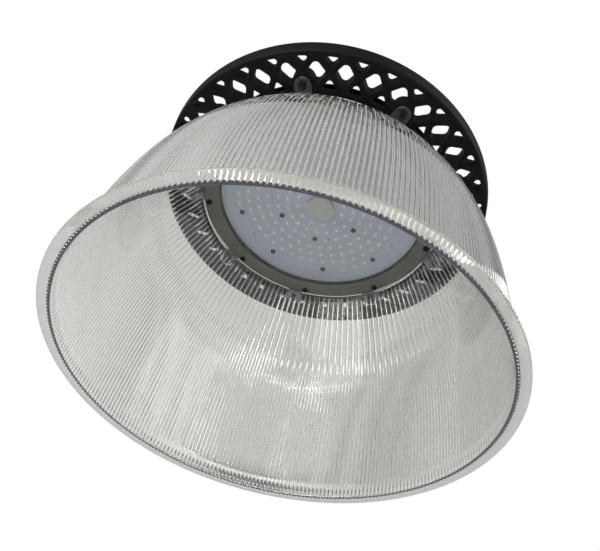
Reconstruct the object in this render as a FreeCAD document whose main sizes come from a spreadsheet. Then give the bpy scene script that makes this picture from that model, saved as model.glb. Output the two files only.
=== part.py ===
"""High bay light: a bell-shaped prismatic reflector clamped under a cast heat sink.

The axis is +Z. The mouth lip of the reflector lies on z = 0 and the hanging eye is at the top.
Every size is a named cell of the sheet called Sizes, in millimetres or degrees.
"""
import FreeCAD, Part
import math
import os
import re

import Sketcher

SIZES = [
    # reflector
    ("mouth_radius", 205.0, "outer edge of the flat mouth lip"),
    ("lip_thickness", 2.5, "thickness of the mouth lip"),
    ("foot_radius", 193.6, "prism tips where the bell meets the lip"),
    ("foot_curve_radius", 189.8, "first guide point of the bell curve, radius"),
    ("foot_curve_height", 137.0, "first guide point of the bell curve, height"),
    ("shoulder_curve_radius", 172.3, "second guide point of the bell curve, radius"),
    ("shoulder_curve_height", 163.0, "second guide point of the bell curve, height"),
    ("prism_count", 288, "prisms around the bell"),
    ("bell_wall", 2.0, "wall of the bell under the prisms"),
    ("neck_height", 3.0, "plain neck above the prisms"),
    ("ear_circle", 140.5, "circle of the ears that hold the reflector, radius"),
    ("ear_radius", 8.0, "rounded end of an ear"),
    ("ear_thickness", 2.4, "thickness of an ear"),
    ("ear_phase", 11.1, "azimuth of the first ear"),
    # levels of the lamp, from the clamping face of the heat sink
    ("seat_level", 240.5, "recessed face of the heat sink that the bezel is screwed to"),
    ("bezel_thickness", 5.5, "bezel ring"),
    ("bezel_outer", 128.1, "bezel ring, outer radius"),
    ("bezel_inner", 111.3, "bezel ring, inner radius"),
    ("bezel_chamfer", 0.8, "broken edges of the bezel"),
    ("bezel_ledge", 3.5, "depth of the step in the bezel that the lens lies on"),
    ("lens_radius", 117.4, "clear lens"),
    ("lens_thickness", 2.0, "clear lens"),
    ("lens_boss_radius", 15.0, "disc at the centre of the lens"),
    ("lens_boss_depth", 3.0, "how far the centre disc stands below the lens"),
    ("gate_radius", 1.6, "small pit in the centre disc"),
    ("gate_depth", 1.0, "small pit in the centre disc"),
    ("gasket_inner", 112.2, "lens gasket, inner radius"),
    ("fit_gap", 0.5, "radial gap between parts that drop into each other"),
    ("hole_gap", 0.3, "radial gap between a screw and its hole"),
    ("overcut", 1.0, "how far a cut runs out past the metal"),
    ("head_shoulder", 0.45, "straight side of a screw head, as a share of its height"),
    ("head_crown", 0.6, "flat crown of a screw head, as a share of its radius"),
    # LED board
    ("board_radius", 110.3, "LED board"),
    ("board_thickness", 1.6, "LED board"),
    ("pad_thickness", 0.3, "heat conducting pad behind the board"),
    ("pad_radius", 109.0, "heat conducting pad"),
    ("board_pocket_depth", 3.0, "pocket in the hub that holds the board"),
    ("led_size", 3.4, "side of one square LED"),
    ("led_height", 0.7, "height of one LED"),
    ("led_pitch", 10.9, "distance between the rings of LEDs"),
    ("led_first_ring", 25.4, "radius of the innermost ring of LEDs"),
    # heat sink
    ("sink_face", 236.0, "underside of the lattice"),
    ("lattice_depth", 13.0, "height of the lattice and of the rim"),
    ("hub_top", 252.0, "upper face of the hub"),
    ("hub_wall", 5.2, "wall around the bezel"),
    ("hub_floor", 2.5, "metal above the outer edge of the bezel"),
    ("hub_undercut", 6.0, "how far the inner cells reach in over the bezel"),
    ("rim_radius", 173.6, "rim at its upper edge"),
    ("rim_draft", 1.2, "how far the rim leans in towards its lower edge"),
    ("rim_chamfer", 1.0, "broken edge under the rim"),
    ("rim_wall", 6.2, "thickness of the rim at its upper edge"),
    ("lattice_count", 36, "diamonds in one row around"),
    ("lattice_radius", 152.0, "crossings beside the middle row of diamonds"),
    ("lattice_step", 17.2, "radial distance from one row of crossings to the next"),
    ("lattice_phase", 1.3, "azimuth of the first cell beside the rim"),
    ("vane_thickness", 5.2, "thickness of a lattice vane"),
    ("cell_corner", 4.2, "corner radius inside a diamond"),
    ("small_cell_corner", 2.6, "corner radius inside a cell cut off by the rim or the hub"),
    ("boss_radius", 10.8, "screw boss in the lattice"),
    # screws under the lamp
    ("bezel_screw_circle", 123.5, "circle of the bezel screws, radius"),
    ("bezel_screw_count", 9, "bezel screws"),
    ("bezel_screw_phase", 6.0, "azimuth of the first bezel screw"),
    ("bezel_screw_radius", 2.0, "bezel screw shank"),
    ("bezel_head_radius", 3.4, "bezel screw head"),
    ("bezel_head_height", 1.8, "bezel screw head"),
    ("bezel_screw_depth", 6.5, "bite of the bezel screws in the hub"),
    ("ear_screw_radius", 2.0, "reflector screw shank"),
    ("ear_head_radius", 3.8, "reflector screw head"),
    ("ear_head_height", 2.4, "reflector screw head"),
    ("ear_screw_end", 1.2, "reflector screw below its nut"),
    ("ear_nut_corner", 4.0, "reflector nut, centre to corner"),
    ("ear_nut", 3.2, "reflector nut"),
    ("board_screw_circle", 90.8, "outer circle of the board screws, radius"),
    ("board_screw_count", 9, "outer board screws"),
    ("board_screw_phase", -4.0, "azimuth of the first outer board screw"),
    ("inner_screw_circle", 46.5, "inner circle of the board screws, radius"),
    ("inner_screw_count", 6, "inner board screws"),
    ("inner_screw_phase", 25.8, "azimuth of the first inner board screw"),
    ("board_screw_radius", 1.5, "board screw shank"),
    ("board_head_radius", 2.9, "board screw head"),
    ("board_head_height", 1.8, "board screw head"),
    ("board_screw_depth", 5.5, "bite of the board screws in the hub"),
    # driver housing on top of the hub
    ("cover_radius", 88.0, "driver housing, outer radius"),
    ("cover_height", 60.0, "driver housing, from flange face to top"),
    ("cover_wall", 3.0, "wall of the driver housing"),
    ("cover_roof", 4.0, "roof of the driver housing"),
    ("cover_edge", 6.0, "rounding of the roof edge"),
    ("cover_flange_radius", 101.0, "foot flange of the driver housing"),
    ("cover_flange", 4.0, "thickness of the foot flange"),
    ("cover_gasket", 1.5, "flat gasket under the foot flange"),
    ("cover_screw_circle", 94.5, "circle of the housing screws, radius"),
    ("cover_screw_count", 6, "housing screws"),
    ("cover_screw_radius", 2.5, "housing screw shank"),
    ("cover_head_radius", 4.3, "housing screw head"),
    ("cover_head_height", 3.2, "housing screw head"),
    ("cover_screw_depth", 7.0, "bite of the housing screws in the hub"),
    # LED driver and wiring inside the housing
    ("driver_length", 120.0, "driver case along X"),
    ("driver_width", 60.0, "driver case along Y"),
    ("driver_height", 36.0, "driver case"),
    ("foot_plate_length", 100.0, "foot plate of the driver along X"),
    ("foot_plate_margin", 12.0, "foot plate on each side of the driver case"),
    ("foot_plate_thickness", 2.0, "foot plate of the driver"),
    ("driver_screw_inset", 10.0, "driver screws from the ends of the foot plate"),
    ("driver_screw_radius", 2.0, "driver screw shank"),
    ("driver_head_radius", 3.6, "driver screw head"),
    ("driver_head_height", 2.6, "driver screw head"),
    ("driver_screw_depth", 5.5, "bite of the driver screws in the hub"),
    ("terminal_length", 32.0, "terminal block along X"),
    ("terminal_width", 16.0, "terminal block along Y"),
    ("terminal_height", 18.0, "terminal block"),
    ("terminal_distance", 16.0, "from the driver case to the terminal block"),
    ("terminal_screw_radius", 2.4, "clamping screws of the terminal block"),
    ("lead_radius", 1.4, "insulated lead"),
    ("lead_spacing", 6.0, "distance between neighbouring leads"),
    ("lead_height", 12.0, "height of the leads above the hub"),
    ("lead_bend", 6.0, "bend radius of the output leads"),
    ("lead_reach", 7.0, "straight run of the output leads before the bend"),
    ("grommet_radius", 6.5, "rubber grommet in the hub"),
    ("grommet_flange", 8.5, "flange of the grommet"),
    ("grommet_lip", 1.5, "thickness of the grommet flange"),
    # hanging eye
    ("eye_shank", 5.0, "eye bolt shank, radius"),
    ("eye_collar_radius", 13.0, "collar under the eye"),
    ("eye_collar", 5.0, "thickness of the collar"),
    ("eye_collar_side", 3.0, "straight side of the collar"),
    ("eye_collar_top", 9.0, "top of the collar, radius"),
    ("eye_inner", 13.0, "eye, inner radius"),
    ("eye_section", 9.0, "bar of the eye"),
    ("eye_edge", 2.5, "rounding of the bar of the eye"),
    ("eye_thread_end", 20.0, "length of shank inside the housing"),
    ("eye_boss_radius", 17.0, "boss under the collar"),
    ("eye_boss", 4.0, "height of the boss"),
    ("eye_washer_radius", 10.5, "washer under the lock nut"),
    ("eye_washer", 2.0, "washer under the lock nut"),
    ("eye_nut_corner", 9.8, "lock nut, centre to corner"),
    ("eye_nut", 8.0, "lock nut"),
    # cable gland, with no cable
    ("gland_level", 36.0, "axis of the gland above the foot flange face"),
    ("gland_boss_radius", 15.0, "flat boss on the housing wall"),
    ("gland_boss", 4.0, "how far the boss stands out"),
    ("gland_inner_boss", 2.0, "flat inside the wall for the lock nut"),
    ("gland_thread", 8.0, "gland thread, radius"),
    ("gland_bore", 5.0, "bore through the gland body"),
    ("gland_corner", 12.6, "hexagon of the gland, centre to corner"),
    ("gland_hexagon", 6.0, "thickness of the gland hexagon"),
    ("gland_neck_radius", 9.0, "outer thread of the gland"),
    ("gland_neck", 9.0, "length of the outer thread"),
    ("gland_spigot", 14.0, "length of the thread through the wall"),
    ("gland_nut_corner", 11.8, "lock nut inside the wall, centre to corner"),
    ("gland_nut", 4.0, "lock nut inside the wall"),
    ("gland_dome_radius", 12.0, "sealing nut"),
    ("gland_dome", 13.0, "length of the sealing nut"),
    ("gland_dome_wall", 2.6, "wall of the sealing nut"),
    ("gland_seal_bore", 3.5, "bore of the rubber seal"),
    ("gland_seal_length", 10.0, "length of the rubber seal"),
]

# Heights of the bell curve at which the prisms are given a cross-section, as shares of the curve.
PRISM_LEVELS = (0.0, 0.36, 0.62, 0.82, 1.0)

# LEDs in each full ring, from the centre outwards, with the azimuth of the first one.
LED_RINGS = ((12, 10.7), (20, 12.7), (24, 25.8), (30, 6.6), (35, 5.2), (40, 4.1))
LED_GROUP_CENTRES = (52.0, 172.0, 292.0)
LED_GROUP_STEPS = (-8.5, 0.0, 8.5)

UP = FreeCAD.Vector(0, 0, 1)
ORIGIN = FreeCAD.Vector(0, 0, 0)

doc = FreeCAD.newDocument("high_bay_light")
sheet = doc.addObject("Spreadsheet::Sheet", "Sizes")
for row, (alias, value, note) in enumerate(SIZES, start=1):
    sheet.set(f"A{row}", note)
    sheet.set(f"B{row}", str(value))
    sheet.setAlias(f"B{row}", alias)
doc.recompute()


# ---------------------------------------------------------------- values and expressions

ALIASES = {alias for alias, _, _ in SIZES}


def bound(text):
    """Turn a formula in bare aliases into one that any object of the document can use."""
    return re.sub(r"[a-z_]+", lambda word: f"Sizes.{word[0]}" if word[0] in ALIASES else word[0], text)


def number(text):
    """The value of a formula in aliases, in millimetres or degrees."""
    return float(sheet.evalExpression(bound(text)))


def bind(thing, prop, text):
    """Tie a property to a formula in aliases."""
    thing.setExpression(prop, bound(text))


# Levels that several pieces share.
BEZEL_FACE = "(seat_level - bezel_thickness)"
LENS_BACK = "(seat_level - bezel_ledge)"
LENS_TOP = f"({LENS_BACK} + lens_thickness)"
POCKET_FLOOR = "(seat_level + board_pocket_depth)"
BOARD_TOP = f"({POCKET_FLOOR} - pad_thickness)"
BOARD_FACE = f"({BOARD_TOP} - board_thickness)"
LATTICE_TOP = "(sink_face + lattice_depth)"
NECK_TOP = "(sink_face - hole_gap)"
EAR_FACE = f"({NECK_TOP} - ear_thickness)"
COVER_SEAT = "(hub_top + cover_gasket)"
COVER_TOP = f"({COVER_SEAT} + cover_height)"
ROOF_UNDERSIDE = f"({COVER_TOP} - cover_roof)"
BOSS_TOP = f"({COVER_TOP} + eye_boss)"
GLAND_HEIGHT = f"({COVER_SEAT} + gland_level)"
GLAND_FACE = "(cover_radius + gland_boss)"
EYE_CENTRE = f"({BOSS_TOP} + eye_collar + eye_inner + eye_section - eye_edge)"

# Radii that follow from the parts that fit inside each other.
PRISM_RATIO = math.pi / number("prism_count")
NECK_BORE = "(bezel_outer + fit_gap)"
NECK_OUTER = f"({NECK_BORE} + bell_wall)"
BEZEL_RECESS = "(bezel_outer + fit_gap)"
HUB_RADIUS = f"({BEZEL_RECESS} + hub_wall)"
LENS_RECESS = "(lens_radius + fit_gap)"
BOARD_POCKET = "(board_radius + fit_gap)"
LEAD_HOLE_X = "(driver_length / 2 + lead_reach + lead_bend)"
DRIVER_SCREW_X = "(foot_plate_length / 2 - driver_screw_inset)"
DRIVER_SCREW_Y = "(driver_width / 2 + foot_plate_margin / 2)"
TERMINAL_Y = "(driver_width / 2 + terminal_distance + terminal_width / 2)"
DRIVER_SCREW_PLACES = [(f"{x} {DRIVER_SCREW_X}", f"{y} {DRIVER_SCREW_Y}") for x in "+-" for y in "+-"]
BOARD_SCREW_CIRCLES = (("board_screw_circle", "board_screw_count", "board_screw_phase"),
                       ("inner_screw_circle", "inner_screw_count", "inner_screw_phase"))


# ---------------------------------------------------------------- modelling helpers

def new_body(label):
    """An empty body that may hold several separate solids, such as a set of screws."""
    body = doc.addObject("PartDesign::Body", label)
    body.Label = label
    body.AllowCompound = True
    return body


def sketch_on(body, plane, level="0"):
    """A sketch on one of the body's own planes, lifted along the plane's normal to a level."""
    sketch = body.newObject("Sketcher::SketchObject", f"{body.Label}_sketch")
    support = next(part for part in body.Origin.OriginFeatures if part.Role == plane)
    sketch.AttachmentSupport = (support, "")
    sketch.MapMode = "FlatFace"
    if level != "0":
        bind(sketch, "AttachmentOffset.Base.z", level)
    return sketch


def place_point(sketch, geometry, end, x, y):
    """Tie one point of a sketch to two formulas; a plain zero puts it on the axis."""
    for text, axis, kind in ((x, -2, "DistanceX"), (y, -1, "DistanceY")):
        if text == "0":
            sketch.addConstraint(Sketcher.Constraint("PointOnObject", geometry, end, axis))
            continue
        made = sketch.addConstraint(Sketcher.Constraint(kind, geometry, end, number(text)))
        bind(sketch, f"Constraints[{made}]", text)


def spot(x, y):
    """A point of the sketch plane from two formulas."""
    return FreeCAD.Vector(number(x), number(y), 0)


def outline(sketch, corners):
    """A closed outline with straight sides, each corner tied to its two formulas."""
    spots = [spot(x, y) for x, y in corners]
    lines = []
    for start, end in zip(spots, spots[1:] + spots[:1]):
        lines.append(sketch.addGeometry(Part.LineSegment(start, end), False))
    for here, following in zip(lines, lines[1:] + lines[:1]):
        sketch.addConstraint(Sketcher.Constraint("Coincident", here, 2, following, 1))
    for line, (x, y) in zip(lines, corners):
        place_point(sketch, line, 1, x, y)


def rounded_outline(sketch, corners, radius):
    """A closed outline listed anticlockwise; a corner marked True is rounded with the radius."""
    spots = [spot(x, y) for x, y, _ in corners]
    count = len(corners)
    reach = number(radius)
    lines = []
    starts, ends = [], []
    for index, (_, _, rounded) in enumerate(corners):
        before = (spots[index - 1] - spots[index]).normalize()
        after = (spots[(index + 1) % count] - spots[index]).normalize()
        cut = reach / math.tan(before.getAngle(after) / 2) if rounded else 0.0
        ends.append(spots[index] + before * cut)
        starts.append(spots[index] + after * cut)
    for index in range(count):
        side = Part.LineSegment(starts[index], ends[(index + 1) % count])
        lines.append(sketch.addGeometry(side, False))
    for index, (x, y, rounded) in enumerate(corners):
        incoming, outgoing = lines[index - 1], lines[index]
        if not rounded:
            sketch.addConstraint(Sketcher.Constraint("Coincident", incoming, 2, outgoing, 1))
            place_point(sketch, outgoing, 1, x, y)
            continue
        along = (spots[index] - ends[index]).normalize()
        centre = ends[index] + FreeCAD.Vector(-along.y, along.x, 0) * reach
        first, last = ends[index] - centre, starts[index] - centre
        circle = Part.Circle(centre, UP, reach)
        turn = Part.ArcOfCircle(circle, math.atan2(first.y, first.x), math.atan2(last.y, last.x))
        arc = sketch.addGeometry(turn, False)
        sketch.addConstraint(Sketcher.Constraint("Tangent", incoming, 2, arc, 1))
        sketch.addConstraint(Sketcher.Constraint("Tangent", arc, 2, outgoing, 1))
        made = sketch.addConstraint(Sketcher.Constraint("Radius", arc, reach))
        bind(sketch, f"Constraints[{made}]", radius)
        corner = sketch.addGeometry(Part.Point(spots[index]), True)
        sketch.addConstraint(Sketcher.Constraint("PointOnObject", corner, 1, incoming))
        sketch.addConstraint(Sketcher.Constraint("PointOnObject", corner, 1, outgoing))
        place_point(sketch, corner, 1, x, y)


def circle_on(sketch, radius, x="0", y="0"):
    """A full circle whose centre and radius are tied to formulas."""
    made = sketch.addGeometry(Part.Circle(spot(x, y), UP, number(radius)), False)
    place_point(sketch, made, 3, x, y)
    size = sketch.addConstraint(Sketcher.Constraint("Radius", made, number(radius)))
    bind(sketch, f"Constraints[{size}]", radius)


def revolve(body, sketch, axis="V_Axis"):
    """Turn a profile once round its axis."""
    turned = body.newObject("PartDesign::Revolution", f"{body.Label}_revolution")
    turned.Profile = sketch
    turned.ReferenceAxis = (sketch, [axis])
    turned.Angle = 360.0
    return turned


def pad(body, sketch, length):
    """Thicken a sketch along its normal."""
    solid = body.newObject("PartDesign::Pad", f"{body.Label}_pad")
    solid.Profile = sketch
    bind(solid, "Length", length)
    return solid


def pocket(body, sketch, length):
    """Cut a sketch into the body along the sketch's normal."""
    doc.recompute()
    before = body.Shape.Volume
    cut = body.newObject("PartDesign::Pocket", f"{body.Label}_pocket")
    cut.Profile = sketch
    cut.Reversed = True
    cut.Refine = False
    bind(cut, "Length", length)
    doc.recompute()
    if cut.Shape.Volume >= before:
        raise ValueError(f"a pocket of {body.Label} cuts nothing")
    return cut


def repeat(body, features, count):
    """Copy features evenly round the Z axis."""
    pattern = body.newObject("PartDesign::PolarPattern", f"{body.Label}_pattern")
    pattern.Originals = features
    pattern.Refine = False
    axis = next(part for part in body.Origin.OriginFeatures if part.Role == "Z_Axis")
    pattern.Axis = (axis, [""])
    pattern.Angle = 360.0
    bind(pattern, "Occurrences", count)
    body.Tip = pattern
    return pattern


def turned_body(label, corners):
    """A piece of revolution about the Z axis, from the corners of its half section."""
    body = new_body(label)
    profile = sketch_on(body, "XZ_Plane")
    outline(profile, corners)
    revolve(body, profile)
    return body


def ring(label, inner, outer, low, high):
    """A flat ring, or a disc where the inner radius is a plain zero."""
    return turned_body(label, [(inner, low), (outer, low), (outer, high), (inner, high)])


def bolt_holes(body, radius, circle, count, phase, level, depth):
    """Blind or through holes on a circle, cut upwards from a level."""
    sketch = sketch_on(body, "XY_Plane", level)
    across, along = f"{circle} * cos({phase})", f"{circle} * sin({phase})"
    circle_on(sketch, radius, across, along)
    return repeat(body, [pocket(body, sketch, depth)], count)


def hexagon(sketch, corner, offset="0"):
    """A hexagon centred on the X axis with one corner on that axis."""
    outline(sketch, [(f"{offset} + {corner} * cos({60 * side})",
                      f"{corner} * sin({60 * side})" if side % 3 else "0") for side in range(6)])


def rectangle(sketch, length, width, x="0", y="0"):
    """A rectangle centred on x, y."""
    left, right = f"{x} - {length} / 2", f"{x} + {length} / 2"
    front, back = f"{y} - {width} / 2", f"{y} + {width} / 2"
    outline(sketch, [(left, front), (right, front), (right, back), (left, back)])


def screw_set(label, circle, count, phase, seat, shank, depth, head, height, up):
    """Separate pan-head screws on a circle, heads outside the seat and shanks into the metal."""
    sign = "+" if up else "-"
    body = new_body(label)
    profile = sketch_on(body, "XZ_Plane")
    top = f"{seat} {sign} {height}"
    shoulder = f"{seat} {sign} {height} * head_shoulder"
    tip = f"{seat} {'-' if up else '+'} {depth}"
    edge = f"{circle} + {head}"
    outline(profile, [(circle, top), (f"{circle} + {head} * head_crown", top), (edge, shoulder),
                      (edge, seat), (f"{circle} + {shank}", seat), (f"{circle} + {shank}", tip),
                      (circle, tip)])
    start, end = spot(circle, top), spot(circle, tip)
    axis = sketch_axis(profile, start, end, circle)
    screws = revolve(body, profile, axis)
    repeat(body, [screws], count)
    body.Placement = FreeCAD.Placement(ORIGIN, FreeCAD.Rotation(UP, number(phase)))
    return body


def sketch_axis(sketch, start, end, offset):
    """A construction line parallel to the vertical axis, which a revolution can turn about."""
    line = sketch.addGeometry(Part.LineSegment(start, end), True)
    sketch.addConstraint(Sketcher.Constraint("Vertical", line))
    made = sketch.addConstraint(Sketcher.Constraint("DistanceX", line, 1, number(offset)))
    bind(sketch, f"Constraints[{made}]", offset)
    return "Axis0"


def shape_node(label, shape):
    """A piece made with Part's own functions."""
    feature = doc.addObject("Part::Feature", label)
    feature.Label = label
    feature.Shape = shape
    return feature


# ---------------------------------------------------------------- reflector

def bell_point(share):
    """Radius, height and slope of the bell's outer curve, a cubic from the lip to the neck."""
    neck = (number(NECK_OUTER) / (1 - PRISM_RATIO), number(f"{NECK_TOP} - neck_height"))
    guides = (
        (number("foot_radius"), number("lip_thickness")),
        (number("foot_curve_radius"), number("foot_curve_height")),
        (number("shoulder_curve_radius"), number("shoulder_curve_height")),
        neck,
    )
    rest = 1 - share
    weights = (rest ** 3, 3 * rest ** 2 * share, 3 * rest * share ** 2, share ** 3)
    radius, height = (sum(w * guide[axis] for w, guide in zip(weights, guides)) for axis in (0, 1))
    pulls = (rest ** 2, 2 * rest * share, share ** 2)
    run, rise = (sum(p * (after[axis] - before[axis]) for p, before, after in zip(pulls, guides, guides[1:]))
                 for axis in (0, 1))
    return radius, height, run / rise


def prism_wire(radius, height):
    """One level of the bell: a zigzag whose tips lie on the radius."""
    count = int(number("prism_count"))
    valley = radius * (1 - PRISM_RATIO)
    points = []
    for index in range(2 * count):
        angle = math.pi * index / count
        reach = valley if index % 2 else radius
        points.append(FreeCAD.Vector(reach * math.cos(angle), reach * math.sin(angle), height))
    return Part.makePolygon(points + points[:1])


def lathe(corners):
    """A solid of revolution about Z from its half section in radius and height."""
    points = [FreeCAD.Vector(radius, 0, height) for radius, height in corners]
    return Part.Face(Part.makePolygon(points + points[:1])).revolve(ORIGIN, UP, 360)


def ear(azimuth):
    """One flat ear outside the neck, with a rounded end and a screw hole."""
    low, thickness, reach = number(EAR_FACE), number("ear_thickness"), number("ear_circle")
    radius, start = number("ear_radius"), number(NECK_BORE) + number("bell_wall") / 2
    tab = Part.makeBox(reach - start, 2 * radius, thickness, FreeCAD.Vector(start, -radius, low))
    end = FreeCAD.Vector(reach, 0, low)
    tab = tab.fuse(Part.makeCylinder(radius, thickness, end)).removeSplitter()
    hole = Part.makeCylinder(number("ear_screw_radius + hole_gap"), 3 * thickness, end - UP * thickness)
    tab = tab.cut(hole)
    tab.rotate(ORIGIN, UP, azimuth)
    return tab


def make_reflector():
    """One clear moulding: flat lip, prismatic bell, plain neck and ears for its screws."""
    levels = [bell_point(share) for share in PRISM_LEVELS]
    bell = Part.makeLoft([prism_wire(radius, height) for radius, height, _ in levels], True, True)
    wall = number("bell_wall")
    inside = [(radius * (1 - PRISM_RATIO) - wall * math.hypot(1, slope), height)
              for radius, height, slope in levels]
    foot_height, neck_foot = levels[0][1], levels[-1][1]
    bore, neck, top = number(NECK_BORE), number(NECK_OUTER), number(NECK_TOP)
    inside[-1] = (bore, neck_foot)
    lip = lathe([(inside[0][0], 0), (number("mouth_radius"), 0),
                 (number("mouth_radius"), foot_height), (inside[0][0], foot_height)])
    hollow = lathe([(0, -foot_height), (inside[0][0], -foot_height)] + inside + [(bore, top), (0, top)])
    neck_ring = lathe([(bore, neck_foot), (neck, neck_foot), (neck, top), (bore, top)])
    count = int(number("bezel_screw_count"))
    ears = [ear(number("ear_phase") + 360 * index / count) for index in range(count)]
    return shape_node("reflector", bell.cut(hollow).fuse([lip, neck_ring] + ears))


# ---------------------------------------------------------------- heat sink

def cell_angles(inner, middle, outer):
    """Angles of a diamond's inner and outer sides to its own radius."""
    across = f"({middle} * sin(180 / lattice_count))"
    along = f"({middle} * cos(180 / lattice_count))"
    return f"atan({across} / ({along} - {inner}))", f"atan({across} / ({outer} - {along}))"


def full_cell(middle):
    """Corners of a whole diamond between four crossings, shrunk by half a vane on every side."""
    inner, outer = f"({middle} - lattice_step)", f"({middle} + lattice_step)"
    near, far = cell_angles(inner, middle, outer)
    half = "vane_thickness / 2"
    spread = f"sin({near} + {far})"
    side_x = f"{middle} * cos(180 / lattice_count) + {half} * (cos({far}) - cos({near})) / {spread}"
    side_y = f"{middle} * sin(180 / lattice_count) - {half} * (sin({near}) + sin({far})) / {spread}"
    return [(f"{inner} + {half} / sin({near})", "0", True), (side_x, f"-({side_y})", True),
            (f"{outer} - {half} / sin({far})", "0", True), (side_x, side_y, True)]


def rim_cell():
    """Corners of a diamond of the outer row, cut off by the rim."""
    middle, outer = "(lattice_radius + lattice_step)", "(lattice_radius + 2 * lattice_step)"
    near, _ = cell_angles("lattice_radius", middle, outer)
    tip = f"(lattice_radius + vane_thickness / 2 / sin({near}))"
    wall = "(rim_radius - rim_wall)"
    run = f"(sqrt({wall} ^ 2 - ({tip} * sin({near})) ^ 2) - {tip} * cos({near}))"
    side_x, side_y = f"{tip} + {run} * cos({near})", f"{run} * sin({near})"
    return [(tip, "0", True), (side_x, f"-({side_y})", True), (wall, "0", False), (side_x, side_y, True)]


def hub_cell(hub):
    """Corners of a diamond of the inner row, cut off at the given radius of the hub."""
    middle = "(lattice_radius - lattice_step)"
    _, far = cell_angles("(lattice_radius - 2 * lattice_step)", middle, "lattice_radius")
    tip = f"(lattice_radius - vane_thickness / 2 / sin({far}))"
    run = f"({tip} * cos({far}) - sqrt({hub} ^ 2 - ({tip} * sin({far})) ^ 2))"
    side_x, side_y = f"{tip} - {run} * cos({far})", f"{run} * sin({far})"
    return [(hub, "0", False), (side_x, f"-({side_y})", True), (tip, "0", True),
            (side_x, side_y, True)]


def turned_corners(corners, angle):
    """The same corners turned about the origin."""
    turned = []
    for x, y, rounded in corners:
        across = f"({x}) * cos({angle}) - ({y}) * sin({angle})"
        along = f"({x}) * sin({angle}) + ({y}) * cos({angle})"
        turned.append((across, along, rounded))
    return turned


def cut_cells(body, cells, count, low, high, corner):
    """Cut rounded cells between two levels of the lattice and repeat them round the axis."""
    sketch = sketch_on(body, "XY_Plane", low)
    for corners in cells:
        rounded_outline(sketch, corners, corner)
    return repeat(body, [pocket(body, sketch, f"{high} - {low}")], count)


def cut_lattice(body):
    """Three rows of cells; the inner row leaves out the cell beside each screw boss."""
    low, middle, high = "(sink_face - overcut)", "(seat_level + hub_floor)", f"({LATTICE_TOP} + overcut)"
    pitch = "360 / lattice_count"
    full = turned_corners(full_cell("lattice_radius"), f"(lattice_phase + {pitch} / 2)")
    cut_cells(body, [full], "lattice_count", low, high, "cell_corner")
    outer = turned_corners(rim_cell(), "lattice_phase")
    cut_cells(body, [outer], "lattice_count", low, high, "small_cell_corner")
    per_boss = int(number("lattice_count") / number("bezel_screw_count"))
    kept = round((number("ear_phase") - number("lattice_phase")) / (360 / number("lattice_count")))
    for hub, start, end in ((HUB_RADIUS, low, middle), (f"({HUB_RADIUS} - hub_undercut)", middle, high)):
        cells = [turned_corners(hub_cell(hub), f"(lattice_phase + {kept + step} * {pitch})")
                 for step in range(1, per_boss)]
        cut_cells(body, cells, "bezel_screw_count", start, end, "small_cell_corner")


def add_bosses(body):
    """Round bosses that carry the reflector screws through the lattice."""
    across, along = "ear_circle * cos(ear_phase)", "ear_circle * sin(ear_phase)"
    sketch = sketch_on(body, "XY_Plane", "sink_face")
    circle_on(sketch, "boss_radius", across, along)
    repeat(body, [pad(body, sketch, "lattice_depth")], "bezel_screw_count")
    bolt_holes(body, "ear_screw_radius + hole_gap", "ear_circle", "bezel_screw_count", "ear_phase",
               "(sink_face - overcut)", "(lattice_depth + 2 * overcut)")


def make_heat_sink():
    """One casting: hub with the board pocket, lattice of crossing vanes, and rim."""
    body = turned_body("heat_sink", [
        ("0", POCKET_FLOOR), (BOARD_POCKET, POCKET_FLOOR), (BOARD_POCKET, "seat_level"),
        (BEZEL_RECESS, "seat_level"), (BEZEL_RECESS, "sink_face"),
        ("rim_radius - rim_draft - rim_chamfer", "sink_face"),
        ("rim_radius - rim_draft", "sink_face + rim_chamfer"), ("rim_radius", LATTICE_TOP),
        (HUB_RADIUS, LATTICE_TOP), (HUB_RADIUS, "hub_top"), ("0", "hub_top"),
    ])
    bolt_holes(body, "bezel_screw_radius + hole_gap / 2", "bezel_screw_circle", "bezel_screw_count",
               "bezel_screw_phase", "seat_level - overcut", "bezel_screw_depth + 2 * overcut")
    for circle, count, phase in BOARD_SCREW_CIRCLES:
        bolt_holes(body, "board_screw_radius + hole_gap / 2", circle, count, phase,
                   f"{POCKET_FLOOR} - overcut", "board_screw_depth + 2 * overcut")
    cover_holes = sketch_on(body, "XY_Plane", "hub_top - cover_screw_depth - overcut")
    circle_on(cover_holes, "cover_screw_radius + hole_gap / 2", "cover_screw_circle", "0")
    repeat(body, [pocket(body, cover_holes, "cover_screw_depth + 2 * overcut")], "cover_screw_count")
    for x, y in DRIVER_SCREW_PLACES:
        hole = sketch_on(body, "XY_Plane", "hub_top - driver_screw_depth - overcut")
        circle_on(hole, "driver_screw_radius + hole_gap / 2", x, y)
        pocket(body, hole, "driver_screw_depth + 2 * overcut")
    lead_hole = sketch_on(body, "XY_Plane", f"{POCKET_FLOOR} - overcut")
    circle_on(lead_hole, "grommet_radius", LEAD_HOLE_X, "0")
    pocket(body, lead_hole, "hub_top - seat_level + 2 * overcut")
    cut_lattice(body)
    add_bosses(body)
    return body


# ---------------------------------------------------------------- lamp under the hub

def make_bezel_ring():
    """Ring in the recess of the hub that holds the lens on its inner step."""
    body = turned_body("bezel_ring", [
        ("bezel_inner", f"{BEZEL_FACE} + bezel_chamfer"), ("bezel_inner + bezel_chamfer", BEZEL_FACE),
        ("bezel_outer - bezel_chamfer", BEZEL_FACE), ("bezel_outer", f"{BEZEL_FACE} + bezel_chamfer"),
        ("bezel_outer", "seat_level"), (LENS_RECESS, "seat_level"), (LENS_RECESS, LENS_BACK),
        ("bezel_inner", LENS_BACK),
    ])
    bolt_holes(body, "bezel_screw_radius + hole_gap", "bezel_screw_circle", "bezel_screw_count",
               "bezel_screw_phase", f"{BEZEL_FACE} - overcut", "bezel_thickness + 2 * overcut")
    return body


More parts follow.
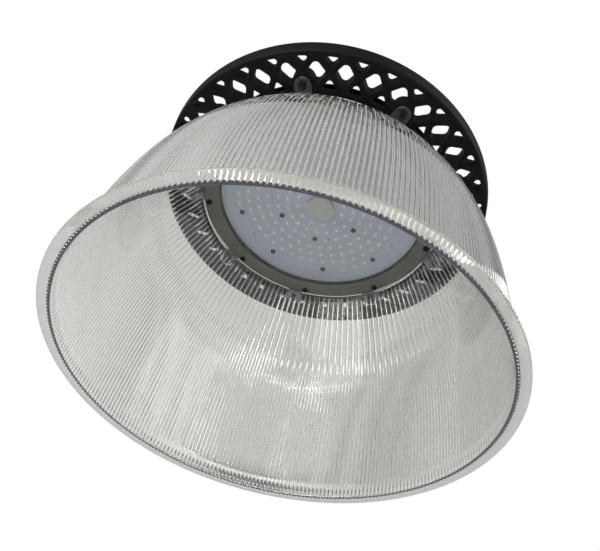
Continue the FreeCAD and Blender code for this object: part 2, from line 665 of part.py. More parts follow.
def make_lens():
    """Clear cover with a thicker disc at its centre, where it was injected."""
    boss_face = f"({LENS_BACK} - lens_boss_depth)"
    return turned_body("lens", [
        ("0", f"{boss_face} + gate_depth"), ("gate_radius", f"{boss_face} + gate_depth"),
        ("gate_radius", boss_face), ("lens_boss_radius", boss_face), ("lens_boss_radius", LENS_BACK),
        ("lens_radius", LENS_BACK), ("lens_radius", LENS_TOP), ("0", LENS_TOP),
    ])


def make_reflector_nuts():
    """Hexagon nuts under the ears of the reflector."""
    body = new_body("reflector_nuts")
    sketch = sketch_on(body, "XY_Plane", f"{EAR_FACE} - ear_nut")
    hexagon(sketch, "ear_nut_corner", "ear_circle")
    circle_on(sketch, "ear_screw_radius + hole_gap / 2", "ear_circle", "0")
    repeat(body, [pad(body, sketch, "ear_nut")], "bezel_screw_count")
    body.Placement = FreeCAD.Placement(ORIGIN, FreeCAD.Rotation(UP, number("ear_phase")))
    return body


def drilled_for_board_screws(body, level, thickness):
    """Cut both circles of board screw holes through a disc."""
    for circle, count, phase in BOARD_SCREW_CIRCLES:
        bolt_holes(body, "board_screw_radius + hole_gap", circle, count, phase, f"{level} - overcut",
                   f"{thickness} + 2 * overcut")
    return body


def make_board():
    """Round aluminium board with clearance holes for its screws and the leads' solder pads."""
    body = ring("led_board", "0", "board_radius", BOARD_FACE, BOARD_TOP)
    return drilled_for_board_screws(body, BOARD_FACE, "board_thickness")


def make_pad():
    """Heat conducting pad, cut out round the screws and the lead hole."""
    body = drilled_for_board_screws(ring("thermal_pad", "0", "pad_radius", BOARD_TOP, POCKET_FLOOR),
                                    BOARD_TOP, "pad_thickness")
    opening = sketch_on(body, "XY_Plane", f"{BOARD_TOP} - overcut")
    circle_on(opening, "grommet_radius + fit_gap", LEAD_HOLE_X, "0")
    pocket(body, opening, "pad_thickness + 2 * overcut")
    return body


def led_places():
    """Radius and azimuth of every LED: full rings, less the places of the inner screws, then groups."""
    places = []
    ring_radius = number("led_first_ring")
    for count, first in LED_RINGS:
        for index in range(count):
            azimuth = first + 360 * index / count
            from_screw = (azimuth - number("inner_screw_phase")) % (360 / number("inner_screw_count"))
            on_screw_ring = abs(ring_radius - number("inner_screw_circle")) < number("led_pitch") / 2
            if not (on_screw_ring and from_screw < 1):
                places.append((ring_radius, azimuth))
        ring_radius += number("led_pitch")
    for centre in LED_GROUP_CENTRES:
        places.extend((number("board_screw_circle"), centre + step) for step in LED_GROUP_STEPS)
    return places


def make_leds():
    """Square surface-mounted LEDs, soldered to the face of the board."""
    side, height = number("led_size"), number("led_height")
    leds = []
    for radius, azimuth in led_places():
        led = Part.makeBox(side, side, height, FreeCAD.Vector(radius - side / 2, -side / 2, 0))
        led.rotate(ORIGIN, UP, azimuth)
        led.translate(UP * (number(BOARD_FACE) - height))
        leds.append(led)
    return shape_node("leds", Part.Compound(leds))


# ---------------------------------------------------------------- housing on top of the hub

def make_cover():
    """Cup-shaped housing with a foot flange, a boss for the eye and a flat boss for the gland."""
    body = turned_body("driver_housing", [
        ("cover_radius - cover_wall", COVER_SEAT), ("cover_flange_radius", COVER_SEAT),
        ("cover_flange_radius", f"{COVER_SEAT} + cover_flange"),
        ("cover_radius", f"{COVER_SEAT} + cover_flange"),
        ("cover_radius", f"{COVER_TOP} - cover_edge"),
        ("cover_radius - cover_edge * (1 - cos(45))", f"{COVER_TOP} - cover_edge * (1 - cos(45))"),
        ("cover_radius - cover_edge", COVER_TOP), ("eye_boss_radius", COVER_TOP),
        ("eye_boss_radius", BOSS_TOP), ("eye_shank + hole_gap", BOSS_TOP),
        ("eye_shank + hole_gap", ROOF_UNDERSIDE), ("cover_radius - cover_wall", ROOF_UNDERSIDE),
    ])
    boss = sketch_on(body, "XZ_Plane", f"-{GLAND_FACE}")
    circle_on(boss, "gland_boss_radius", "0", GLAND_HEIGHT)
    pad(body, boss, "gland_boss + cover_wall + gland_inner_boss")
    bore = sketch_on(body, "XZ_Plane", f"-{GLAND_FACE} - overcut")
    circle_on(bore, "gland_thread + hole_gap", "0", GLAND_HEIGHT)
    pocket(body, bore, "gland_boss + cover_wall + gland_inner_boss + 2 * overcut")
    foot_holes = sketch_on(body, "XY_Plane", f"{COVER_SEAT} - overcut")
    circle_on(foot_holes, "cover_screw_radius + hole_gap", "cover_screw_circle", "0")
    repeat(body, [pocket(body, foot_holes, "cover_flange + 2 * overcut")], "cover_screw_count")
    return body


def make_cover_gasket():
    """Flat gasket with the screw holes of the housing."""
    body = ring("housing_gasket", "cover_radius - cover_wall", "cover_flange_radius",
                "hub_top", COVER_SEAT)
    holes = sketch_on(body, "XY_Plane", "hub_top - overcut")
    circle_on(holes, "cover_screw_radius + hole_gap", "cover_screw_circle", "0")
    repeat(body, [pocket(body, holes, "cover_gasket + 2 * overcut")], "cover_screw_count")
    return body


def make_driver():
    """Potted LED driver: a plain case on a wider foot plate with four screw holes."""
    body = new_body("led_driver")
    foot = sketch_on(body, "XY_Plane", "hub_top")
    rectangle(foot, "foot_plate_length", "(driver_width + 2 * foot_plate_margin)")
    pad(body, foot, "foot_plate_thickness")
    case = sketch_on(body, "XY_Plane", "hub_top")
    rectangle(case, "driver_length", "driver_width")
    pad(body, case, "driver_height")
    for x, y in DRIVER_SCREW_PLACES:
        hole = sketch_on(body, "XY_Plane", "hub_top - overcut")
        circle_on(hole, "driver_screw_radius + hole_gap", x, y)
        pocket(body, hole, "foot_plate_thickness + 2 * overcut")
    return body


def make_driver_screws():
    """Four separate screws in the foot plate of the driver."""
    screws = []
    seat = number("hub_top + foot_plate_thickness")
    shank, depth = number("driver_screw_radius"), number("driver_screw_depth + foot_plate_thickness")
    head, height = number("driver_head_radius"), number("driver_head_height")
    shoulder, crown = number("head_shoulder"), number("head_crown")
    for x, y in DRIVER_SCREW_PLACES:
        screw = lathe([(0, seat - depth), (shank, seat - depth), (shank, seat), (head, seat),
                       (head, seat + height * shoulder), (head * crown, seat + height), (0, seat + height)])
        screw.translate(spot(x, y))
        screws.append(screw)
    return shape_node("driver_screws", Part.Compound(screws))


def make_terminal_block():
    """Moulded three-way terminal block with a screw well over each lead."""
    body = new_body("terminal_block")
    base = sketch_on(body, "XY_Plane", "hub_top")
    rectangle(base, "terminal_length", "terminal_width", "0", TERMINAL_Y)
    pad(body, base, "terminal_height")
    for shift in ("- lead_spacing", "0", "+ lead_spacing"):
        well = sketch_on(body, "XY_Plane", "hub_top + terminal_height - lead_spacing / 2")
        circle_on(well, "terminal_screw_radius", shift, TERMINAL_Y)
        pocket(body, well, "lead_spacing")
    return body


def make_input_leads():
    """Three short straight leads from the terminal block to the driver."""
    low = number("driver_width / 2")
    height = number("hub_top + lead_height")
    leads = [Part.makeCylinder(number("lead_radius"), number("terminal_distance"),
                               FreeCAD.Vector(step * number("lead_spacing"), low, height),
                               FreeCAD.Vector(0, 1, 0))
             for step in (-1, 0, 1)]
    return shape_node("input_leads", Part.Compound(leads))


def make_output_leads():
    """Two leads that leave the driver, bend down and pass the grommet to the back of the board."""
    leads = []
    end_face, bend = number("driver_length / 2"), number("lead_bend")
    height = number("hub_top + lead_height")
    turn_x, foot = number(LEAD_HOLE_X), number(BOARD_TOP)
    for side in (-1, 1):
        y = side * number("lead_spacing / 2")
        start = FreeCAD.Vector(end_face, y, height)
        bend_start = FreeCAD.Vector(turn_x - bend, y, height)
        bend_middle = FreeCAD.Vector(turn_x - bend + bend * math.sin(math.pi / 4), y,
                                     height - bend + bend * math.cos(math.pi / 4))
        bend_end = FreeCAD.Vector(turn_x, y, height - bend)
        end = FreeCAD.Vector(turn_x, y, foot)
        path = Part.Wire([Part.LineSegment(start, bend_start).toShape(),
                          Part.Arc(bend_start, bend_middle, bend_end).toShape(),
                          Part.LineSegment(bend_end, end).toShape()])
        section = Part.Wire(Part.Circle(start, FreeCAD.Vector(1, 0, 0), number("lead_radius")).toShape())
        leads.append(path.makePipeShell([section], True, False))
    return shape_node("output_leads", Part.Compound(leads))


def make_grommet():
    """Rubber grommet that fills the lead hole of the hub."""
    body = new_body("lead_grommet")
    plug = sketch_on(body, "XY_Plane", POCKET_FLOOR)
    circle_on(plug, "grommet_radius - hole_gap", LEAD_HOLE_X, "0")
    pad(body, plug, f"hub_top - {POCKET_FLOOR}")
    flange = sketch_on(body, "XY_Plane", "hub_top")
    circle_on(flange, "grommet_flange", LEAD_HOLE_X, "0")
    pad(body, flange, "grommet_lip")
    for side in "+-":
        hole = sketch_on(body, "XY_Plane", f"{POCKET_FLOOR} - overcut")
        circle_on(hole, "lead_radius + hole_gap", LEAD_HOLE_X, f"{side} lead_spacing / 2")
        pocket(body, hole, f"hub_top - {POCKET_FLOOR} + grommet_lip + 2 * overcut")
    return body


def make_eye_bolt():
    """Forged eye on a collar, with a plain shank through the roof."""
    body = turned_body("eye_bolt", [
        ("0", f"{ROOF_UNDERSIDE} - eye_thread_end"), ("eye_shank", f"{ROOF_UNDERSIDE} - eye_thread_end"),
        ("eye_shank", BOSS_TOP), ("eye_collar_radius", BOSS_TOP),
        ("eye_collar_radius", f"{BOSS_TOP} + eye_collar_side"),
        ("eye_collar_top", f"{BOSS_TOP} + eye_collar"),
        ("eye_section / 2", f"{BOSS_TOP} + eye_collar + eye_edge"),
        ("0", f"{BOSS_TOP} + eye_collar + eye_edge"),
    ])
    outer, half = "eye_inner + eye_section", "eye_section / 2"
    loop = sketch_on(body, "XY_Plane", EYE_CENTRE)
    outline(loop, [("eye_inner", f"-{half} + eye_edge"), ("eye_inner + eye_edge", f"-{half}"),
                   (f"{outer} - eye_edge", f"-{half}"), (outer, f"-{half} + eye_edge"),
                   (outer, f"{half} - eye_edge"), (f"{outer} - eye_edge", half),
                   ("eye_inner + eye_edge", half), ("eye_inner", f"{half} - eye_edge")])
    revolve(body, loop)
    return body


def nut(label, corner, bore, low, height):
    """Hexagon nut about the Z axis."""
    body = new_body(label)
    sketch = sketch_on(body, "XY_Plane", low)
    hexagon(sketch, corner)
    circle_on(sketch, bore)
    pad(body, sketch, height)
    return body


def laid_along_y(body, start):
    """Turn a piece made about Z so that its axis runs along +Y from the given distance."""
    turn = FreeCAD.Rotation(FreeCAD.Vector(1, 0, 0), -90)
    body.Placement = FreeCAD.Placement(FreeCAD.Vector(0, number(start), number(GLAND_HEIGHT)), turn)
    return body


def make_gland():
    """Cable gland in four pieces, made about Z from the face of the boss and laid along Y."""
    top = "gland_hexagon + gland_neck"
    body = new_body("gland_body")
    flange = sketch_on(body, "XY_Plane")
    hexagon(flange, "gland_corner")
    circle_on(flange, "gland_bore")
    pad(body, flange, "gland_hexagon")
    tube = sketch_on(body, "XZ_Plane")
    outline(tube, [("gland_bore", "-gland_spigot"), ("gland_thread", "-gland_spigot"),
                   ("gland_thread", "gland_hexagon / 2"), ("gland_neck_radius", "gland_hexagon / 2"),
                   ("gland_neck_radius", top), ("gland_bore + 2 * hole_gap", top),
                   ("gland_bore", "gland_hexagon")])
    revolve(body, tube)
    lock_nut = nut("gland_lock_nut", "gland_nut_corner", "gland_thread + hole_gap",
                   "-gland_boss - cover_wall - gland_inner_boss - gland_nut", "gland_nut")
    inner = "gland_neck_radius + hole_gap"
    outer = "gland_dome_radius"
    end = "gland_hexagon + hole_gap + gland_dome"
    dome = turned_body("gland_dome_nut", [
        (inner, "gland_hexagon + hole_gap"), (outer, "gland_hexagon + hole_gap"),
        (outer, f"{end} - gland_dome_wall"), (f"{outer} - gland_dome_wall", end),
        ("gland_bore + hole_gap", end), ("gland_bore + hole_gap", f"{end} - gland_dome_wall"),
        (inner, f"{end} - gland_dome_wall")])
    seal_end = f"({end} - gland_dome_wall)"
    seal = ring("gland_seal", "gland_seal_bore", "gland_bore - hole_gap",
                f"{seal_end} - gland_seal_length", seal_end)
    return [laid_along_y(piece, GLAND_FACE) for piece in (body, lock_nut, dome, seal)]


# ---------------------------------------------------------------- the lamp, piece by piece

NODES = [
    make_reflector(),
    make_heat_sink(),
    make_board(),
    make_leds(),
    make_pad(),
    make_lens(),
    ring("lens_gasket", "gasket_inner", "lens_radius", LENS_TOP, "seat_level"),
    make_bezel_ring(),
    screw_set("bezel_screws", "bezel_screw_circle", "bezel_screw_count", "bezel_screw_phase", BEZEL_FACE,
              "bezel_screw_radius", "(bezel_thickness + bezel_screw_depth)",
              "bezel_head_radius", "bezel_head_height", False),
    screw_set("board_screws_outer", "board_screw_circle", "board_screw_count", "board_screw_phase",
              BOARD_FACE, "board_screw_radius", "(board_thickness + board_screw_depth)",
              "board_head_radius", "board_head_height", False),
    screw_set("board_screws_inner", "inner_screw_circle", "inner_screw_count", "inner_screw_phase",
              BOARD_FACE, "board_screw_radius", "(board_thickness + board_screw_depth)",
              "board_head_radius", "board_head_height", False),
    screw_set("reflector_screws", "ear_circle", "bezel_screw_count", "ear_phase", LATTICE_TOP,
              "ear_screw_radius", "(lattice_depth + hole_gap + ear_thickness + ear_nut + ear_screw_end)",
              "ear_head_radius", "ear_head_height", True),
    make_reflector_nuts(),
    make_cover(),
    make_cover_gasket(),
    screw_set("housing_screws", "cover_screw_circle", "cover_screw_count", "0",
              f"({COVER_SEAT} + cover_flange)", "cover_screw_radius",
              "(cover_flange + cover_gasket + cover_screw_depth)", "cover_head_radius",
              "cover_head_height", True),
    make_driver(),
    make_driver_screws(),
    make_terminal_block(),
    make_input_leads(),
    make_output_leads(),
    make_grommet(),
    make_eye_bolt(),
    ring("eye_washer", "eye_shank + hole_gap", "eye_washer_radius", f"{ROOF_UNDERSIDE} - eye_washer",
         ROOF_UNDERSIDE),
    nut("eye_lock_nut", "eye_nut_corner", "eye_shank + hole_gap / 2",
        f"{ROOF_UNDERSIDE} - eye_washer - eye_nut", "eye_nut"),
    *make_gland(),
]

doc.recompute()
for piece in doc.Objects:
    if "Invalid" in piece.State or "Error" in piece.State:
        raise RuntimeError(f"{piece.Label} is {piece.State}")
for node in NODES:
    if node.Shape.isNull() or not node.Shape.isValid():
        raise RuntimeError(f"{node.Label} has no valid shape")

os.makedirs("parts", exist_ok=True)
for node in NODES:
    solids = node.Shape.Solids
    Part.Compound(solids).exportStep(f"parts/{node.Label}.step")
    print(f"{node.Label}: {len(solids)} solid(s), {sum(solid.Volume for solid in solids) / 1000:.1f} cm3")
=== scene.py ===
# %% [markdown]
# # A high bay light, dressed in Blender
#
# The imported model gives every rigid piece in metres, with the mouth of the reflector on z = 0
# and the hanging eye at the top. This script never moves those pieces. It gives them their
# finishes and replaces a few of them by richer meshes of the same size.

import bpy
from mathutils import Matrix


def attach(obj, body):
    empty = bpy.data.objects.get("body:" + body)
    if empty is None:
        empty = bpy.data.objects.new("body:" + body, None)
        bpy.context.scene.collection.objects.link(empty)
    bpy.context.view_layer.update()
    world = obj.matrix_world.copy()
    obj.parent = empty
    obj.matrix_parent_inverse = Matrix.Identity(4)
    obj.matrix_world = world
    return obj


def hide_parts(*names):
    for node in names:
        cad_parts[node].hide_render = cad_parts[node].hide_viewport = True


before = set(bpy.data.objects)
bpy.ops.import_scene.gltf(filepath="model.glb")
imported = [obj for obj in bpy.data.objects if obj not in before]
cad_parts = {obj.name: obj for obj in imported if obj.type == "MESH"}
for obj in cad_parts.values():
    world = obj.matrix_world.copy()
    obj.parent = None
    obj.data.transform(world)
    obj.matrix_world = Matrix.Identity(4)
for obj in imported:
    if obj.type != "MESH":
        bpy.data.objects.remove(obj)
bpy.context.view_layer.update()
print("CAD nodes:", ", ".join(sorted(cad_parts)))

# %% [markdown]
# ## Small tools
#
# Colours are written as the sRGB hex values that a colour picker shows, and Blender's shaders
# want linear light, so one function turns the first into the second. One more function adds a
# node to any tree, sets its values and plugs in its links: shaders and Geometry Nodes share it.

# %% Helpers for colours and nodes
import math

import bpy
from mathutils import Matrix, Vector

MM = 0.001


def linear(hex_colour):
    """An sRGB hex colour as the linear RGBA that shaders expect."""
    channels = [int(hex_colour[start:start + 2], 16) / 255 for start in (1, 3, 5)]
    bent = [c / 12.92 if c <= 0.04045 else ((c + 0.055) / 1.055) ** 2.4 for c in channels]
    return (*bent, 1.0)


def add(tree, kind, inputs=None, **settings):
    """Add a node, set its properties, and set or link its inputs by name or by number."""
    node = tree.nodes.new(kind)
    for name, value in settings.items():
        setattr(node, name, value)
    for key, value in (inputs or {}).items():
        socket = node.inputs[key]
        if isinstance(value, bpy.types.NodeSocket):
            tree.links.new(value, socket)
        else:
            socket.default_value = value
    return node


def calc(tree, operation, first, second=0.0):
    """One step of arithmetic in a tree."""
    return add(tree, "ShaderNodeMath", {0: first, 1: second}, operation=operation).outputs[0]


print("white is", linear("#ffffff"))

# %% Helpers for materials
NOISE_DETAIL = 3.0


def shader(name):
    """A new material with an empty node tree and its output node."""
    material = bpy.data.materials.new(name)
    material.use_nodes = True
    material.node_tree.nodes.clear()
    return material, material.node_tree, material.node_tree.nodes.new("ShaderNodeOutputMaterial")


def noise_on_object(tree, size_mm):
    """Noise whose blobs are about size_mm across, laid out in the piece's own coordinates."""
    place = add(tree, "ShaderNodeTexCoord").outputs["Object"]
    return add(tree, "ShaderNodeTexNoise", {
        "Vector": place, "Scale": 1 / (size_mm * MM), "Detail": NOISE_DETAIL}).outputs["Fac"]


def between(tree, factor, low, high):
    """Turn a factor from 0 to 1 into a number between low and high."""
    return add(tree, "ShaderNodeMapRange",
               {"Value": factor, "To Min": low, "To Max": high}).outputs[0]


def colours(tree, factor, stops):
    """A colour ramp from (position, hex colour) pairs."""
    ramp = add(tree, "ShaderNodeValToRGB", {"Fac": factor})
    for element, (position, hex_colour) in zip(ramp.color_ramp.elements, stops):
        element.position = position
        element.color = linear(hex_colour)
    return ramp.outputs["Color"]


print("helpers ready")

# %% [markdown]
# ## The viewpoint
#
# The lamp hangs above the eye, and the camera looks up into the bell. The camera could be
# pushed into place by hand, but a distance, an elevation and three small turns can be read,
# repeated and adjusted in plain numbers.

# %% Camera
MOUTH_RADIUS = 205 * MM
CAMERA_DISTANCE = 2.7195 * MOUTH_RADIUS
ELEVATION, YAW, PITCH, ROLL = (math.radians(a) for a in (-36.882, 0.629, 4.123, 15.228))
SENSOR = 36.0
LENS = 39.70
SHIFT = (0.0117, 0.0991)
NEAREST_SEEN = 10 * MM


def camera_frame():
    """The camera's place and its right, up and forward directions."""
    place = CAMERA_DISTANCE * Vector((0, -math.cos(ELEVATION), math.sin(ELEVATION)))
    ahead = -place.normalized()
    right = ahead.cross(Vector((0, 0, 1))).normalized()
    up = right.cross(ahead)
    forward = (ahead + right * math.tan(YAW) + up * math.tan(PITCH)).normalized()
    level = forward.cross(up).normalized()
    upright = level.cross(forward)
    right = level * math.cos(ROLL) + upright * math.sin(ROLL)
    up = upright * math.cos(ROLL) - level * math.sin(ROLL)
    return place, right, up, forward


place, right, up, forward = camera_frame()
camera = bpy.data.objects.new("camera", bpy.data.cameras.new("camera"))
bpy.context.scene.collection.objects.link(camera)
facing = Matrix((right, up, -forward)).transposed().to_4x4()
camera.matrix_world = Matrix.Translation(place) @ facing
camera.data.sensor_width = SENSOR
camera.data.lens = LENS
camera.data.shift_x, camera.data.shift_y = SHIFT
camera.data.clip_start = NEAREST_SEEN
bpy.context.scene.camera = camera
print("camera at", [round(c, 3) for c in place])

# %% [markdown]
# ## Light and backdrop
#
# Clear plastic is drawn by what stands behind it, so the room matters as much as the lamps.
# The world is plain white to the camera and a softer light to everything else: weaker in
# mirror reflections than in refraction, and dimmer towards the ceiling and the right, as in a
# hall whose roof is dark. A picture of a room could do that too, but one direction and a few
# numbers are easier to change, and they stay plain.

# %% World
scene = bpy.context.scene
scene.view_settings.view_transform = "Standard"
world = bpy.data.worlds.new("white_room")
scene.world = world
world.use_nodes = True
air = world.node_tree
air.nodes.clear()
paths = add(air, "ShaderNodeLightPath").outputs
ROOM_LIGHT, BENT_LIGHT, MIRRORED_LIGHT, WHITE = 0.8, 0.72, 0.4, 1.0
DIM_SIDE = (0.5, 0.0, 1.0)
DIM_FROM, DIM_TO = 0.3, 1.0
OPEN_SIDE, CEILING_SHADE = 1.1, 0.58


def chosen(ray, otherwise, strength):
    """One strength for a kind of ray, and another for the rest."""
    return add(air, "ShaderNodeMix", {0: paths[ray], 2: otherwise, 3: strength},
               data_type="FLOAT").outputs[0]


# A bent ray also counts as a mirrored one, so refraction has the later word.
strength = chosen("Is Glossy Ray", ROOM_LIGHT, MIRRORED_LIGHT)
strength = chosen("Is Transmission Ray", strength, BENT_LIGHT)
direction = add(air, "ShaderNodeTexCoord").outputs["Generated"]
dimness = add(air, "ShaderNodeVectorMath", {0: direction, 1: DIM_SIDE}, operation="DOT_PRODUCT")
shade = add(air, "ShaderNodeMapRange", {
    "Value": dimness.outputs["Value"], "From Min": DIM_FROM, "From Max": DIM_TO,
    "To Min": OPEN_SIDE, "To Max": CEILING_SHADE})
strength = chosen("Is Camera Ray", calc(air, "MULTIPLY", strength, shade.outputs[0]), WHITE)
sky = add(air, "ShaderNodeBackground", {"Color": linear("#ffffff"), "Strength": strength})
add(air, "ShaderNodeOutputWorld", {"Surface": sky.outputs[0]})
print("world:", world.name, "with", len(air.nodes), "nodes")

# %% [markdown]
# ### Lamps and floor
#
# Two large soft lamps, one low on the left and one high on the right, give the ribs a
# direction without hard shadows. Small spots would sparkle in every prism. The floor is a
# plain pale square far below, which also throws soft light up into the bell.

# %% Lamps and floor
def soft_lamp(name, place, target, size, watts):
    """A square area lamp that looks at a point."""
    lamp = bpy.data.objects.new(name, bpy.data.lights.new(name, "AREA"))
    lamp.data.size = size
    lamp.data.energy = watts
    lamp.location = place
    lamp.rotation_euler = (Vector(target) - Vector(place)).to_track_quat("-Z", "Y").to_euler()
    scene.collection.objects.link(lamp)


soft_lamp("key", place=(-0.9, -1.1, -0.1), target=(0, 0, 0.15), size=0.9, watts=14)
soft_lamp("fill", place=(1.2, -0.8, 0.9), target=(0, 0, 0.2), size=1.2, watts=9)

FLOOR_LEVEL = -0.62
FLOOR_HALF_SIDE = 6.0
floor_mesh = bpy.data.meshes.new("floor")
floor_mesh.from_pydata([(x * FLOOR_HALF_SIDE, y * FLOOR_HALF_SIDE, FLOOR_LEVEL)
                        for x, y in ((-1, -1), (1, -1), (1, 1), (-1, 1))], [], [(0, 1, 2, 3)])
floor = bpy.data.objects.new("floor", floor_mesh)
scene.collection.objects.link(floor)
pale, nodes, output = shader("pale_floor")
surface = add(nodes, "ShaderNodeBsdfPrincipled",
              {"Base Color": linear("#f4f4f2"), "Roughness": 0.9})
nodes.links.new(surface.outputs[0], output.inputs[0])
floor_mesh.materials.append(pale)
print("lamps and floor placed")

# %% [markdown]
# ## Making meshes by rule
#
# Most of this lamp is turned, pressed or repeated. A lathe could be built vertex by vertex in
# Python, but a Geometry Nodes tree states the rule itself: rows follow a half section, columns
# go round the axis, and every prism is four columns. The same tree then turns the reflector
# and the screw heads, and only its input values differ.

# %% Run a Geometry Nodes tree and keep the plain mesh
def grown(name, source, tree, values):
    """Run a tree on a source mesh with the given input values and return a plain object."""
    host = bpy.data.objects.new(name + "_host", source)
    scene.collection.objects.link(host)
    modifier = host.modifiers.new("tree", "NODES")
    modifier.node_group = tree
    sockets = {item.name: item.identifier for item in tree.interface.items_tree
               if item.in_out == "INPUT"}
    for key, value in values.items():
        modifier[sockets[key]] = value
    evaluated = host.evaluated_get(bpy.context.evaluated_depsgraph_get())
    mesh = bpy.data.meshes.new_from_object(evaluated)
    mesh.name = name
    host.modifiers.clear()
    bpy.data.objects.remove(host)
    piece = bpy.data.objects.new(name, mesh)
    scene.collection.objects.link(piece)
    print(f"{name}: {len(mesh.vertices)} vertices, {len(mesh.polygons)} faces")
    return piece


def new_tree(name, inputs):
    """A geometry node tree with a geometry in and out and the named inputs."""
    tree = bpy.data.node_groups.new(name, "GeometryNodeTree")
    tree.interface.new_socket("Geometry", in_out="INPUT", socket_type="NodeSocketGeometry")
    for label, (kind, value) in inputs.items():
        socket = tree.interface.new_socket(label, in_out="INPUT", socket_type="NodeSocket" + kind)
        if value is not None:
            socket.default_value = value
    tree.interface.new_socket("Geometry", in_out="OUTPUT", socket_type="NodeSocketGeometry")
    return tree, tree.nodes.new("NodeGroupInput").outputs, tree.nodes.new("NodeGroupOutput").inputs


def read(tree, name):
    """A named number that the mesh carries."""
    return add(tree, "GeometryNodeInputNamedAttribute", {"Name": name},
               data_type="FLOAT").outputs[0]


def dressed(tree, geometry, material, where=True):
    """Set a material on the faces that a field chooses, or on all of them."""
    return add(tree, "GeometryNodeSetMaterial", {
        "Geometry": geometry, "Selection": where, "Material": material}).outputs[0]


print("tree helpers ready")

# %% [markdown]
# ### The prism tree
#
# A flat grid is rolled up: its rows take their radius and height from the half section, and its
# columns go round. Four columns make a prism, with a narrow flat on its tip and in its valley,
# as a worn mould leaves them. Every second prism can sink into the wall where the bell narrows,
# so that the rest keep enough room.

# %% Where a grid point goes
GRID_SIDE, HALF_GRID = 1.0, 0.5
COLUMNS_PER_PRISM = 4
NO_DEPTH = 1e-4
TOUCHING = 1e-3 * MM
HALF_MARK = 0.5


def column_and_row(tree, columns, rows):
    """The whole column and row of a grid point, with the last row back on the first."""
    place = add(tree, "GeometryNodeInputPosition").outputs[0]
    spot = add(tree, "ShaderNodeSeparateXYZ", {0: place}).outputs

    def counted(axis, count):
        share = calc(tree, "ADD", spot[axis], HALF_GRID)
        return calc(tree, "ROUND", calc(tree, "MULTIPLY", share, count))

    return counted(0, columns), calc(tree, "MODULO", counted(1, rows), rows)


def zigzag(tree, prisms, column, depth, flat, fade):
    """The angle of a column, the share of the radius that is left there, and how far it sank."""
    # Columns come in pairs: two on the tip of a prism and two in its valley.
    pair = calc(tree, "FLOOR", calc(tree, "DIVIDE", column, 2))
    side = calc(tree, "SUBTRACT", calc(tree, "MULTIPLY", calc(tree, "MODULO", column, 2), 2), 1)
    turn = calc(tree, "ADD", calc(tree, "DIVIDE", pair, 2), calc(tree, "MULTIPLY", side, flat))
    angle = calc(tree, "MULTIPLY", calc(tree, "DIVIDE", turn, prisms), math.tau)
    # Every second prism sinks into the wall where the section's fade rises to 1.
    prism = calc(tree, "FLOOR", calc(tree, "DIVIDE", column, COLUMNS_PER_PRISM))
    sunk = calc(tree, "MULTIPLY", calc(tree, "MODULO", prism, 2), fade)
    lowered = calc(tree, "MAXIMUM", calc(tree, "MODULO", pair, 2), sunk)
    flat_drop = calc(tree, "MULTIPLY", flat, 2)
    flank = calc(tree, "SUBTRACT", 1.0, calc(tree, "MULTIPLY", flat_drop, 2))
    drop = calc(tree, "ADD", flat_drop, calc(tree, "MULTIPLY", lowered, flank))
    return angle, calc(tree, "SUBTRACT", 1.0, calc(tree, "MULTIPLY", depth, drop)), sunk


print("each prism takes", COLUMNS_PER_PRISM, "columns")


# %% Which edges stay sharp
def with_sharp_edges(tree, mesh):
    """Sharpen the edges along a prism, and those round the lamp at a corner of the section."""
    ends = add(tree, "GeometryNodeInputMeshEdgeVertices").outputs

    def at_ends(name):
        return [add(tree, "GeometryNodeSampleIndex",
                    {"Geometry": mesh, "Value": read(tree, name), "Index": ends[end]},
                    data_type="FLOAT").outputs[0] for end in (0, 1)]

    same_column = calc(tree, "COMPARE", *at_ends("column"))
    same_row = calc(tree, "COMPARE", *at_ends("row"))
    prismatic = calc(tree, "GREATER_THAN", calc(tree, "MAXIMUM", *at_ends("depth")), NO_DEPTH)
    cornered = calc(tree, "GREATER_THAN", calc(tree, "MINIMUM", *at_ends("corner")), HALF_MARK)
    sharp = calc(tree, "MAXIMUM", calc(tree, "MULTIPLY", same_column, prismatic),
                 calc(tree, "MULTIPLY", same_row, cornered))
    return add(tree, "GeometryNodeStoreNamedAttribute",
               {"Geometry": mesh, "Name": "sharp_edge", "Value": sharp},
               data_type="BOOLEAN", domain="EDGE").outputs[0]


print("prisms deeper than", NO_DEPTH, "of the radius get sharp edges")


# %% Which faces take which finish
TIP_MARK = 0.5
LIP_AFTER_END = 1.5
SAME_ROW = 0.1


def dressed_by_place(tree, given, mesh):
    """One finish for the wall, and others for the prisms' tips, their cut ends and the lip."""
    mesh = dressed(tree, mesh, given["Material"])
    # On a tip flat the columns of the four corners average to half past a multiple of four.
    on_tip = calc(tree, "COMPARE", calc(tree, "MODULO", read(tree, "column"), COLUMNS_PER_PRISM),
                  TIP_MARK)
    standing = calc(tree, "GREATER_THAN",
                    calc(tree, "SUBTRACT", read(tree, "depth"), read(tree, "sunk")), NO_DEPTH)
    mesh = dressed(tree, mesh, given["Tip material"], calc(tree, "MULTIPLY", on_tip, standing))
    past_end = calc(tree, "GREATER_THAN", read(tree, "row"),
                    calc(tree, "ADD", given["End row"], LIP_AFTER_END))
    mesh = dressed(tree, mesh, given["Lip material"], past_end)
    at_end = add(tree, "FunctionNodeCompare",
                 {0: read(tree, "row"), 1: given["End row"], "Epsilon": SAME_ROW},
                 data_type="FLOAT", operation="EQUAL").outputs[0]
    return dressed(tree, mesh, given["End material"], at_end)


print("the lip starts", LIP_AFTER_END, "rows past the cut ends")


